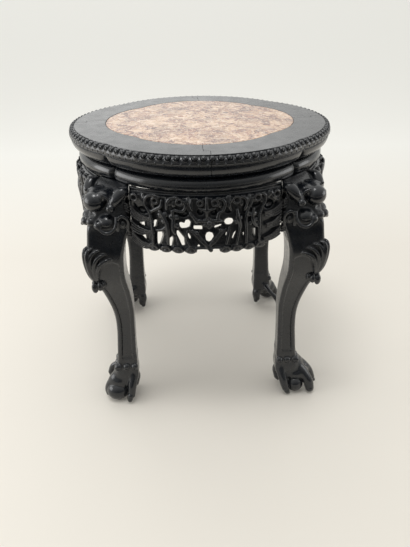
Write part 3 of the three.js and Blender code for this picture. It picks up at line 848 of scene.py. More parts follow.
@dataclass
class BeadSpacing:
    """Where the beads stand: how many, and the line of their centres."""

    plan: FourLobedPlan
    count: int = 112
    inset: float = 5.0
    height: float = 447.9

    def angles(self, per_bead: int) -> np.ndarray:
        """Returns angles at equal distances along the line of beads, from a place between two beads.

        Args:
            per_bead: steps for each bead.

        Returns:
            The angles, in radians.
        """
        fine = np.linspace(math.pi / 4, math.pi / 4 + 2 * math.pi, 14401)
        radius = self.plan.radius(self.inset, fine)
        points = np.stack([radius * np.cos(fine), radius * np.sin(fine)], 1)
        travelled = np.concatenate([[0], np.cumsum(np.linalg.norm(np.diff(points, axis=0), axis=1))])
        stops = np.arange(self.count * per_bead) / (self.count * per_bead) * travelled[-1]
        return np.interp(stops, travelled, fine)

    def points(self, inset: float, height: float, offset: float, per_bead: int = 8) -> np.ndarray:
        """Returns a row of points beside the line of beads, offset by a share of a bead's spacing."""
        angles = np.roll(self.angles(per_bead), -round(offset * per_bead))
        radius = self.plan.radius(inset, angles)
        return np.stack([radius * np.cos(angles), radius * np.sin(angles), np.full_like(angles, height)], 1)


@dataclass
class TopFrame:
    """The moulded frame round the marble: four quarters that meet at stepped seams on the lobes."""

    plan: FourLobedPlan
    beads: BeadSpacing
    wood: bpy.types.Material
    height: float = 452.0
    width: float = 58.5
    thickness: float = 32.0
    ledge: float = 10.0
    ledge_top: float = 439.7
    neck: float = 22.0
    ovolo_end: float = 17.5
    fit: float = 0.3
    seam_gap: float = 0.6
    seam_step: float = 4.5
    seam_inset: float = 27.0
    per_bead: int = 16
    cup_radius: float = 4.7
    cup_depth: float = 2.4
    rim_height: float = 1.1
    rim_width: float = 0.65
    crease: float = 6.5

    def section(self) -> list[tuple[float, float]]:
        """Returns the section: flat, shallow quirk, rounded band of the beads, ovolo and underside."""
        top, bottom = self.height, self.height - self.thickness
        groove = self.neck + 4.0
        return [
            (self.width, top - 0.5), (self.width - 0.5, top), (36.0, top), (12.0, top),
            (9.3, top), (9.1, top - 0.5), (8.9, top - 1.6),
            *arc_points((8.6, top - 10.4), (7.9, 8.6), 88, 0, 20),
            (0.75, top - 11.0), (1.0, top - 11.8), (1.5, top - 12.6), (2.1, top - 13.3), (2.9, top - 13.8),
            (3.1, top - 14.5), (2.6, top - 15.2),
            *arc_points((self.ovolo_end, top - 16.0), (self.ovolo_end - 2.1, top - 16.6 - bottom),
                        2, -90, 22),
            (self.ovolo_end + 1.5, bottom),
            (groove - self.fit, bottom), (groove - self.fit, bottom + 4.0),
            (groove + 4.0 + self.fit, bottom + 4.0), (groove + 4.0 + self.fit, bottom),
            (self.width + self.ledge, bottom), (self.width + self.ledge, self.ledge_top),
            (self.width, self.ledge_top),
        ]

    def carve_cups(self, points: np.ndarray) -> np.ndarray:
        """Hollows a cup with a slight rim round every bead.

        Args:
            points: points of the swept ring, section by section.

        Returns:
            The moved points.
        """
        centres = self.beads.points(self.beads.inset, self.beads.height, 0.5, 2)[::2]
        section_size = len(self.section())
        rings = points.reshape(-1, section_size, 3)
        nearest = np.repeat(np.arange(self.beads.count), self.per_bead)
        aside = rings - centres[nearest][:, None, :]
        reach = np.linalg.norm(aside, axis=2)
        flat = np.linalg.norm(centres[:, :2], axis=1)
        outward = np.hstack([centres[:, :2] / flat[:, None], np.full((len(centres), 1), 0.75)])
        outward /= np.linalg.norm(outward, axis=1)[:, None]
        facing = outward[nearest][:, None, :]
        across = reach ** 2 - (aside * facing).sum(2) ** 2
        spread = np.sqrt(np.maximum(across, 0))
        near = (reach < 9) & (rings[:, :, 2] > self.height - 13)
        depth = self.cup_depth * soft_step(0.4, 1.0, (self.cup_radius + 0.5 - spread) / self.cup_radius * 2.2)
        rim = self.rim_height * np.exp(-((spread - self.cup_radius - 0.1) / self.rim_width) ** 2)
        rim = rim * soft_step(-1, 2, -aside[:, :, 2])
        moved = rings + facing * ((rim - depth) * near)[:, :, None]
        return moved.reshape(-1, 3)

    def seam_cutter(self) -> bpy.types.Object:
        """Returns the block of a quarter of the top, with the jog of the seam on both sides."""
        step_radius = self.plan.half_width - self.seam_inset
        reach, half = 2 * self.plan.half_width, self.seam_gap / 2
        step = self.seam_step
        near = [(step, -step + half), (step_radius - half, -step + half),
                (step_radius - half, step + half), (reach, step + half)]
        far = [(step, -step - half), (step_radius + half, -step - half),
               (step_radius + half, step - half), (reach, step - half)]
        outline = near + [(-aside, along) for along, aside in far][::-1]
        low, high = self.height - self.thickness - 1, self.height + 1
        points = np.array([(x, y, z) for z in (low, high) for x, y in outline])
        count = len(outline)
        faces = [tuple(range(count - 1, -1, -1)), tuple(range(count, 2 * count))]
        faces += [(i, (i + 1) % count, count + (i + 1) % count, count + i) for i in range(count)]
        mesh = bpy.data.meshes.new("quarter_block")
        mesh.from_pydata((points * MM).tolist(), [], faces)
        piece = bpy.data.objects.new("quarter_block", mesh)
        bpy.context.scene.collection.objects.link(piece)
        return piece

    def joint_blocks(self) -> list[bpy.types.Object]:
        """Returns the blocks that cut the mortise, the batten's housing and the spline pockets."""
        bottom = self.height - self.thickness
        spline_at = self.plan.half_width - (self.seam_inset + 4 + 8)
        middle = bottom + self.thickness / 2
        pocket = (16.6, 44.6, 6.6)
        end = float(self.plan.radius(self.width + self.ledge, math.pi / 4)) + 9 + self.fit
        return [
            block_piece("mortise", (121, 121, bottom + 5.15), (24.6, 24.6, 14.3)),
            block_piece("housing", (end / 2, 0, 432.7), (end, 36.6, 14.6), 45),
            block_piece("pocket_near", (spline_at, 0, middle), pocket),
            block_piece("pocket_far", (spline_at, 0, middle), pocket, 90),
        ]

    def build(self) -> list[bpy.types.Object]:
        """Makes the four quarters.

        Returns:
            The quarters, riding on the stand.
        """
        angles = self.beads.angles(self.per_bead)
        points, faces = self.plan.sweep(self.section(), angles, True, self.crease)
        points = self.carve_cups(points)
        quarter = make_object("frame_quarter", points, faces, self.wood)
        boolean(quarter, self.seam_cutter(), "INTERSECT")
        for block in self.joint_blocks():
            boolean(quarter, block, "DIFFERENCE")
        base = mesh_points(quarter.data)
        pieces = []
        for turn, corner in enumerate(CORNERS):
            mesh = quarter.data.copy()
            moved = quarter_turn(base, turn)
            mesh.vertices.foreach_set("co", (moved * MM).astype(np.float32).ravel())
            mesh.shade_smooth()
            mesh.set_sharp_from_angle(angle=math.radians(28))
            if not mesh.materials:
                mesh.materials.append(self.wood)
            piece = bpy.data.objects.new(f"frame_{corner}", mesh)
            bpy.context.scene.collection.objects.link(piece)
            angle = (turn + 0.5) * math.pi / 2
            finish_plain(piece, (-math.sin(angle), math.cos(angle), 0))
            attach(piece, "root")
            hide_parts(f"top_frame_{corner}")
            pieces.append(piece)
        remove_piece(quarter)
        return pieces


@dataclass
class BeadRows:
    """The carved row of beads round the top, with small buds under the places between them."""

    beads: BeadSpacing
    wood: bpy.types.Material
    bead_radius: float = 3.75
    bud_radius: float = 1.7
    bud_inset: float = 1.7
    bud_height: float = 441.4

    def path(self, inset: float, height: float, offset: float) -> bpy.types.Object:
        """Returns a closed path round the top that starts a share of a bead's spacing along."""
        rows = self.beads.points(inset, height, offset)
        mesh = bpy.data.meshes.new("bead_path")
        loop = [(i, (i + 1) % len(rows)) for i in range(len(rows))]
        mesh.from_pydata((rows * MM).tolist(), loop, [])
        piece = bpy.data.objects.new("bead_path", mesh)
        bpy.context.scene.collection.objects.link(piece)
        return piece

    def tree(self) -> bpy.types.NodeTree:
        """Returns the node tree that strings beads on a path; its inputs are named for their sizes."""
        tree = bpy.data.node_groups.new("string_of_beads", "GeometryNodeTree")
        face = tree.interface
        face.new_socket("Path", in_out="INPUT", socket_type="NodeSocketGeometry")
        face.new_socket("Count", in_out="INPUT", socket_type="NodeSocketInt")
        face.new_socket("Radius", in_out="INPUT", socket_type="NodeSocketFloat")
        face.new_socket("Stretch", in_out="INPUT", socket_type="NodeSocketVector")
        face.new_socket("Segments", in_out="INPUT", socket_type="NodeSocketInt")
        face.new_socket("Wood", in_out="INPUT", socket_type="NodeSocketMaterial")
        face.new_socket("Beads", in_out="OUTPUT", socket_type="NodeSocketGeometry")
        given = add_node(tree, "NodeGroupInput")
        curve = add_node(tree, "GeometryNodeMeshToCurve", inputs={"Mesh": given.outputs["Path"]})
        spaced = add_node(tree, "GeometryNodeResampleCurve", inputs={
            "Curve": curve.outputs["Curve"], "Count": given.outputs["Count"]})
        placed = add_node(tree, "GeometryNodeCurveToPoints", {"mode": "EVALUATED"}, {
            "Curve": spaced.outputs["Curve"]})
        bead = add_node(tree, "GeometryNodeMeshUVSphere", inputs={
            "Segments": given.outputs["Segments"], "Rings": 8, "Radius": given.outputs["Radius"]})
        strung = add_node(tree, "GeometryNodeInstanceOnPoints", inputs={
            "Points": placed.outputs["Points"], "Instance": bead.outputs["Mesh"],
            "Scale": given.outputs["Stretch"]})
        real = add_node(tree, "GeometryNodeRealizeInstances", inputs={
            "Geometry": strung.outputs["Instances"]})
        smooth = add_node(tree, "GeometryNodeSetShadeSmooth", inputs={"Geometry": real.outputs["Geometry"]})
        dressed = add_node(tree, "GeometryNodeSetMaterial", inputs={
            "Geometry": smooth.outputs[0], "Material": given.outputs["Wood"]})
        result = add_node(tree, "NodeGroupOutput")
        tree.links.new(dressed.outputs["Geometry"], result.inputs["Beads"])
        return tree

    def string(self, name: str, tree: bpy.types.NodeTree, path: bpy.types.Object, radius: float,
               stretch: Point, segments: int) -> bpy.types.Object:
        """Strings one row of beads.

        Args:
            name: name of the piece.
            tree: the node tree.
            path: the path that the beads follow; it is removed.
            radius: radius of a bead in millimetres.
            stretch: the bead's own proportions.
            segments: facets round a bead.

        Returns:
            The row as a plain mesh.
        """
        modifier = path.modifiers.new("beads", "NODES")
        modifier.node_group = tree
        values = {"Count": self.beads.count, "Radius": radius * MM, "Stretch": stretch, "Segments": segments,
                  "Wood": self.wood}
        for item in tree.interface.items_tree:
            if item.in_out == "INPUT" and item.name in values:
                modifier[item.identifier] = values[item.name]
        graph = bpy.context.evaluated_depsgraph_get()
        mesh = bpy.data.meshes.new_from_object(path.evaluated_get(graph), depsgraph=graph)
        mesh.name = name
        remove_piece(path)
        piece = bpy.data.objects.new(name, mesh)
        bpy.context.scene.collection.objects.link(piece)
        return piece

    def build(self) -> list[bpy.types.Object]:
        """Makes the two rows.

        Returns:
            Beads and buds, riding on the stand.
        """
        tree = self.tree()
        rows = [
            self.string("bead_row", tree, self.path(self.beads.inset, self.beads.height, 0.5),
                        self.bead_radius, (1, 1, 1), 16),
            self.string("bud_row", tree, self.path(self.bud_inset, self.bud_height, 0.0),
                        self.bud_radius, (1, 1, 1.3), 8),
        ]
        for row in rows:
            finish_plain(row, (0, 0, 1))
            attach(row, "root")
        return rows


@dataclass
class WaistRails:
    """The four rails under the frame: a full band below a narrow neck, mitred at the legs."""

    plan: FourLobedPlan
    wood: bpy.types.Material
    bottom: float = 398.7
    height: float = 21.0
    band_inset: float = 11.5
    band_height: float = 15.0
    band_swell: float = 4.5
    neck: float = 22.0
    back_inset: float = 34.5
    tongue: float = 4.0
    fit: float = 0.3
    crease: float = 6.5

    def section(self) -> list[tuple[float, float]]:
        """Returns the section of a rail, going outward over the top and back underneath."""
        top = self.bottom + self.height
        tongue = self.neck + 4.0
        return [
            (self.back_inset, self.bottom), (self.back_inset, top),
            (tongue + 4.0, top), (tongue + 4.0, top + self.tongue),
            (tongue, top + self.tongue), (tongue, top), (self.neck, top), (self.neck - 0.5, top - 1.6),
            (self.neck - 1.6, top - 2.6),
            *arc_points((self.band_inset + 8.6, self.bottom + 7.6), (8.6, 11.0), 84, 0, 18),
            *arc_points((self.band_inset + self.band_swell, self.bottom + 7.6), (self.band_swell, 7.6),
                        -6, -90, 12),
        ]

    def build(self) -> list[bpy.types.Object]:
        """Makes the four rails.

        Returns:
            The rails, riding on the stand.
        """
        gap = self.fit / (2 * float(self.plan.radius(self.back_inset, math.pi / 4)))
        end = math.pi / 4 - gap
        steps = np.concatenate([-end + np.arange(12) * 0.004, np.linspace(-end + 0.05, end - 0.05, 90),
                                end - np.arange(12)[::-1] * 0.004])
        points, faces = self.plan.sweep(self.section(), steps, False, self.crease)
        pieces = []
        for turn, side in enumerate(SIDES):
            piece = make_object(f"waist_{side}", quarter_turn(points, turn), faces, self.wood, 9)
            angle = turn * math.pi / 2
            finish_plain(piece, (-math.sin(angle), math.cos(angle), 0))
            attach(piece, "root")
            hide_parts(f"waist_rail_{side}")
            pieces.append(piece)
        return pieces


@dataclass
class MarblePanel:
    """The marble set flush in the frame, with its edge eased."""

    plan: FourLobedPlan
    marble: bpy.types.Material
    height: float = 452.0
    thickness: float = 12.0
    edge_inset: float = 58.8
    bevel: float = 1.2
    steps: int = 360

    def build(self) -> bpy.types.Object:
        """Makes the panel.

        Returns:
            The panel, riding on the stand.
        """
        levels = [(self.edge_inset, self.height - self.thickness),
                  (self.edge_inset, self.height - self.bevel),
                  (self.edge_inset + 0.3 * self.bevel, self.height - 0.3 * self.bevel),
                  (self.edge_inset + self.bevel, self.height)]
        angles = np.linspace(0, 2 * math.pi, self.steps, endpoint=False)
        rings = []
        for inset, height in levels:
            radius = self.plan.radius(inset, angles)
            rings.append(np.stack([radius * np.cos(angles), radius * np.sin(angles),
                                   np.full_like(angles, height)], axis=1))
        faces: list = [tuple(range(self.steps - 1, -1, -1))]
        for level in range(len(levels) - 1):
            for step in range(self.steps):
                after = (step + 1) % self.steps
                here, above = level * self.steps, (level + 1) * self.steps
                faces.append((here + step, here + after, above + after, above + step))
        faces.append(tuple(3 * self.steps + step for step in range(self.steps)))
        piece = make_object("marble_top", np.vstack(rings), faces, self.marble, 9)
        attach(piece, "root")
        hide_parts("marble_panel")
        return piece


@dataclass(frozen=True)
class Foot:
    """One ball-and-claw foot of the leg between +X and +Y."""

    palm: Sequence[Form]
    gap: Form
    ball: Form
    toes: Sequence[Sequence[tuple[float, float, float, float]]]
    claws: Sequence[Sequence[tuple[float, float, float, float]]]


# The feet are carved freely: one kind under the front right and back left legs, one under the others.
FEET = (
    Foot(palm=(Blob((141, 148, 50), (20, 24, 20)), Blob((145, 158, 35), (20, 26, 15))),
         gap=Blob((165, 157, 10), (16, 16, 21)),
         ball=Blob((156.5, 157.5, 15.2), (15.4, 15.4, 15.4)),
         toes=([(144, 131, 64, 9), (156, 131, 46, 8), (164, 135, 30, 7.6), (169, 139, 15, 6.6)],
               [(146, 158, 50, 11), (155, 172, 36, 9.6), (162, 181, 22, 8.8), (165, 184, 9.5, 8)],
               [(138, 152, 58, 11), (138, 170, 44, 10), (140, 184, 29, 8.8), (143, 190, 16, 7.6)],
               [(128, 148, 54, 10), (119, 164, 34, 8), (114, 172, 16, 6.5)],
               [(138, 138, 44, 12), (131, 131, 28, 9.5), (132, 132, 13, 7.6)]),
         claws=([(169, 140, 15, 6), (171.5, 142, 8, 4.6), (170, 146, 3, 2.4)],
                [(167, 184, 9, 7), (166, 188, 4, 3.2)],
                [(143, 191, 14, 6.6), (145, 196, 9, 3.4)],
                [(114, 172, 14, 6), (113, 174, 5, 3)],
                [(131, 131, 13, 6), (130, 130, 7, 4.2), (133, 133, 3, 2.2)])),
    Foot(palm=(Blob((146, 142, 50), (19, 19, 20)), Blob((154, 148, 34), (21, 17, 17))),
         gap=Blob((141.5, 172, 10), (3, 8, 14)),
         ball=Blob((160, 157, 17.2), (19.5, 16.8, 17.2)),
         toes=([(131, 144, 64, 9), (131, 156, 46, 8), (134, 164, 30, 7.6), (136, 169, 15, 6.6)],
               [(152, 148, 52, 10), (166, 149, 35, 9.6), (176, 150, 19, 8), (178, 151, 9, 5.6)],
               [(146, 128, 52, 7), (160, 108, 40, 4.4), (173, 103, 27, 6), (178, 104, 15, 6)],
               [(138, 138, 44, 12), (131, 131, 28, 9.5), (132, 132, 13, 7.6)]),
         claws=([(137, 171, 15, 6), (139, 173.5, 8, 4.6), (138, 171, 3, 2.4)],
                [(179, 151, 12, 5.5), (180, 152, 5, 3)],
                [(178, 104, 14, 5.5), (179, 106, 6, 2.6)],
                [(131, 131, 13, 6), (130, 130, 7, 4.2), (133, 133, 3, 2.2)])),
)


@dataclass
class CarvedLegs:
    """The four cabriole legs: mask, acanthus knee, panelled shaft, curled ankle, ball-and-claw foot.

    A station gives a height, how far the outer corner stands out there and the leg's width. The grid
    of a leg is coarser than that of an apron, to keep the leg under 200,000 triangles.
    """

    plan: FourLobedPlan
    wood: bpy.types.Material
    top: float = 398.4
    corner: float = 160.0
    block: float = 51.0
    coarser: float = 1.12
    shoulder_start: float = 188.0
    shoulder_fall: float = 0.5
    stations: Sequence[tuple[float, float, float]] = (
        (0.0, -3, 34), (30.0, -2, 35), (52.0, -1.0, 37), (66.0, -1.5, 36), (80.0, -4.0, 34), (96.0, -5.5, 32),
        (143.0, -8.7, 30), (179.0, -7, 33), (219.0, 2, 40), (251.0, 12.5, 47), (275.0, 16.5, 51),
        (299.0, 17.5, 54), (319.0, 15.5, 57), (343.0, 12.5, 62), (370.0, 6, 57), (384.0, 2, 53),
        (440.0, 0, 51))

    def outline_at(self, z: np.ndarray) -> tuple[np.ndarray, np.ndarray]:
        """Returns the outer corner's place and the width of the shaft at heights."""
        rows = smooth_path(self.stations, 6)
        return self.corner + np.interp(z, rows[:, 0], rows[:, 1]), np.interp(z, rows[:, 0], rows[:, 2])

    def face_cut(self, t: np.ndarray, z: np.ndarray, width: np.ndarray) -> np.ndarray:
        """Returns how deep the outer faces are cut for the bead, grooves and sunk panel.

        Args:
            t: distance from the outer corner along the face.
            z: height.
            width: width of the shaft there.

        Returns:
            Depth in millimetres.
        """
        arch = 286 - 0.035 * (t - 34) ** 2
        panel = soft_step(-1.5, 1.5, arch - z) * soft_step(82, 92, z)
        groove = soft_step(0.2, 1.0, 1.25 - np.abs(t - 8.2)) * 2.2
        field = soft_step(8.2, 10.2, t) * soft_step(7.2, 8.4, width - t) * 1.1
        line = soft_step(0.1, 0.9, 1.1 - np.abs(width - t - 3.4)) * 1.5
        inner = soft_step(0.1, 0.9, 1.1 - np.abs(width - t - 7.4)) * 1.2
        return panel * (groove + field + line + inner)

    def carve_shaft(self, carving: CarvingBlock) -> None:
        """Cuts the bare cabriole with its rounded corners and panels, its shoulder sloping down outward at
        the top.
        """
        z = carving.axes[2][None, None, :]
        x = carving.axes[0][:, None, None]
        y = carving.axes[1][None, :, None]
        _, width = self.outline_at(z)
        edge = 6.0 + 7.0 * soft_step(335, 360, z)
        half = width / 2
        across = np.abs(x + half) - (half - edge)
        beside = np.abs(y + half) - (half - edge)
        body = np.sqrt(np.maximum(across, 0) ** 2 + np.maximum(beside, 0) ** 2)
        body = body + np.minimum(np.maximum(across, beside), 0) - edge
        body = np.maximum(body, x + self.face_cut(-y, z, width))
        body = np.maximum(body, y + self.face_cut(-x, z, width))
        outward = (x + y + 2 * self.outline_at(z)[0]) / math.sqrt(2) - self.shoulder_start
        slope = (z - self.top + self.shoulder_fall * outward) / math.hypot(1, self.shoulder_fall)
        body = -smooth_least(-body, -slope, 5.0)
        body = np.maximum(body, 42 - z)
        carving.field[:] = np.minimum(carving.field, body)

    def carve_mask(self, carving: CarvingBlock) -> None:
        """Adds the beast's head: sloping forehead, skull, brows, eyes, hollow mouth, lips and jowls."""
        carving.add(Blob((158.5, 158.5, 376.5), (16.2, 16.2, 15.4)), soft=0.6)
        ridge = [(147, 172, 390, 1.8), (139, 172, 386, 2.1), (136.5, 173, 379, 2.2), (141, 175, 370, 2.0)]
        carving.add(Stroke(ridge), soft=0.8, both=True)
        brow = [(111, 160, 394, 6.5), (118, 167, 391, 8.6), (126, 171, 384, 8.0), (131, 172, 378, 6)]
        carving.add(Stroke(brow), soft=1.6, both=True)
        carving.add(Blob((143, 158, 385), (11, 13, 8)), soft=4, both=True)
        furrow = [(110, 171, 386, 2), (117, 176, 380, 2.4), (126, 177, 372, 2)]
        carving.cut(Stroke(furrow), soft=1.2, both=True)
        carving.add(Blob((135.5, 175, 371.5), (6.4, 7, 6.4)), soft=0.4, both=True)
        carving.cut(Blob((136, 182.4, 371), (1.8, 2.4, 1.8)), soft=0.6, both=True)
        mouth = [(120, 173, 363.5, 3.0), (134, 176, 362, 3.8), (150, 178, 361, 4.6), (166, 170, 360.5, 5.0)]
        carving.cut(Stroke(mouth), soft=1.0, both=True)
        carving.cut(Blob((168, 168, 361), (9, 9, 4.4)), soft=1.5)
        carving.add(Blob((143, 168, 349), (13.5, 14, 11)), soft=2.0, both=True)
        carving.add(Stroke([(129, 176, 358, 1.9), (129.5, 180, 349, 2.3), (133.5, 182.5, 341, 2.5),
                            (142.5, 183.5, 337, 2.7), (151, 182, 340.5, 2.5), (156, 178.5, 348, 2.2)]),
                    soft=0.9, both=True)
        chin = [(133, 184.5, 352, 2.2), (142, 186, 347.5, 3.2), (151, 184, 351, 2.2)]
        carving.cut(Stroke(chin), soft=1.6, both=True)
        carving.add(Blob((166, 166, 348.5), (7.2, 7.2, 6.8)), soft=0.8)
        carving.add(Blob((175, 155, 346), (7.5, 7, 7)), soft=1.5, both=True)
        carving.add(Stroke([(113.5, 172, 336, 2.3), (112.5, 174, 350, 2.6), (116, 175.5, 357, 2.7),
                            (121.5, 176, 359.5, 2.7), (126, 175.5, 356, 2.6), (128, 174, 348, 2.5),
                            (128.5, 172.5, 337, 2.3)]), soft=0.9, both=True)
        carving.add(Blob((120.5, 171.5, 346), (5.2, 5, 6.5)), soft=1.2, both=True)
        for low, rise in ((361.5, 4.0), (341.5, 3.9), (324, 3.7)):
            for number in range(4):
                z = low + number * rise
                rib = [(108.5, 167.5, z, 1.6), (112, 169.5, z + 1.5, 1.6), (116, 169.8, z + 3.5, 1.3)]
                carving.add(Stroke(rib), soft=0.3, both=True)

    def carve_knee(self, carving: CarvingBlock) -> None:
        """Adds the acanthus leaf on the knee, curved fingers that gather above a dark tuft."""
        fingers = [
            [(-35, 292), (-28, 291.5), (-20, 287), (-14, 278), (-9.5, 266), (-7, 256)],
            [(-27, 300), (-20, 299), (-13.5, 293), (-8.5, 282), (-6, 268), (-5, 256)],
            [(-17, 306), (-10, 304.5), (-5, 297), (-2.5, 284), (-2, 270), (-3, 256)],
            [(-7, 309.5), (-2, 307), (-0.5, 297), (-0.5, 280), (-1, 266), (-1.5, 256)],
        ]
        shape = [(0.8, 1.6), (3.0, 2.9), (3.6, 3.4), (3.4, 3.2), (2.6, 2.8), (0.8, 2.4)]
        for finger in fingers:
            path = [(x, proud, z, size) for (x, z), (proud, size) in zip(finger, shape)]
            carving.add(Stroke(path), soft=0.3, both=True, leaning=False)
        carving.cut(Blob((173.5, 173.5, 251.5), (16, 16, 2.2)), soft=1.0)
        carving.add(Blob((172.5, 172.5, 241.5), (5.2, 5.2, 9.5)), soft=0.5)
        carving.add(Blob((164.5, 173.5, 243.5), (4.4, 4.6, 7.5)), soft=0.4, both=True)
        carving.add(Blob((158, 171.5, 246), (3.4, 3.8, 5.2)), soft=0.4, both=True)

    def carve_ankle(self, carving: CarvingBlock) -> None:
        """Adds the ring of small curls at the ankle."""
        for t, size in ((31, 4.4), (17, 4.6), (3.0, 5.0)):
            curl = Blob((-t, -0.5, 69), (size + 1.4, 4.6, size + 1.6))
            carving.add(curl, soft=1.0, both=True, leaning=False)
            carving.cut(Blob((-t, 4.6, 68), (1.9, 2.4, 2.0)), soft=0.8, both=True, leaning=False)

    def carve_foot(self, carving: CarvingBlock, foot: Foot) -> None:
        """Adds the full palm, the ball under it and the thick toes with blunt claws that grip it."""
        carving.add(*foot.palm, soft=5)
        carving.add(*[Stroke(toe) for toe in foot.toes], soft=3.5)
        carving.cut(foot.gap, soft=1.2)
        carving.add(foot.ball, soft=0.4)
        carving.add(*[Stroke(claw) for claw in foot.claws], soft=0.6)

    def carve(self, step: float, foot: Foot) -> tuple[np.ndarray, np.ndarray, np.ndarray, np.ndarray]:
        """Carves the leg between +X and +Y.

        Args:
            step: spacing of the points.
            foot: the foot it stands on.

        Returns:
            Points, faces, hollowness and sharpness.
        """
        heights = np.concatenate([
            np.arange(-2 * step, 92, step), np.arange(92 + step, 222, 3 * step),
            np.arange(224, self.top + 2, step), np.arange(self.top + 4, 437, 3.0)])
        across = np.arange(-66, 46, step)
        carving = CarvingBlock((across, across, heights), lambda z: self.outline_at(z)[0])
        self.carve_shaft(carving)
        self.carve_mask(carving)
        self.carve_knee(carving)
        self.carve_ankle(carving)
        self.carve_foot(carving, foot)
        self.fit_joints(carving)
        return carving.cut_out()

    def fit_joints(self, carving: CarvingBlock) -> None:
        """Trims the leg at the floor, the waist and the aprons, and adds the stub that enters the frame."""
        x, y, z = carving.places()
        inner = self.corner - self.block
        head = np.maximum(inner - x, inner - y) - 30 * soft_step(-10, 0, 296 - z)
        carving.field[:] = np.maximum(carving.field, head)
        carving.field[:] = np.maximum(carving.field, z - self.top)
        chamfer = float(self.plan.radius(34.5, math.pi / 4)) - 0.3
        stub = np.maximum(np.abs(x - inner - 12) - 12, np.abs(y - inner - 12) - 12)
        stub = np.maximum(stub, (x + y) / math.sqrt(2) - chamfer)
        stub = np.maximum(stub, np.maximum(z - 432.0, 390 - z))
        carving.field[:] = np.minimum(carving.field, stub)
        carving.field[:] = np.maximum(carving.field, -z)

    def build(self) -> list[bpy.types.Object]:
        """Makes the four legs.

        Returns:
            The legs, riding on the stand.
        """
        carved = [self.carve(self.coarser * carving_detail().value, foot) for foot in FEET]
        log.info("the legs have %d and %d faces", len(carved[0][1]), len(carved[1][1]))
        pieces = []
        for turn, corner in enumerate(CORNERS):
            points, faces, hollow, edge = carved[0 if corner in ("front_right", "back_left") else 1]
            piece = make_object(f"carved_leg_{corner}", quarter_turn(points, turn), faces, self.wood)
            store_attribute(piece.data, "grain", points + 211.0 * turn)
            store_attribute(piece.data, "hollow", hollow)
            store_attribute(piece.data, "edge", edge)
            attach(piece, "root")
            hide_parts(f"leg_{corner}")
            pieces.append(piece)
        return pieces


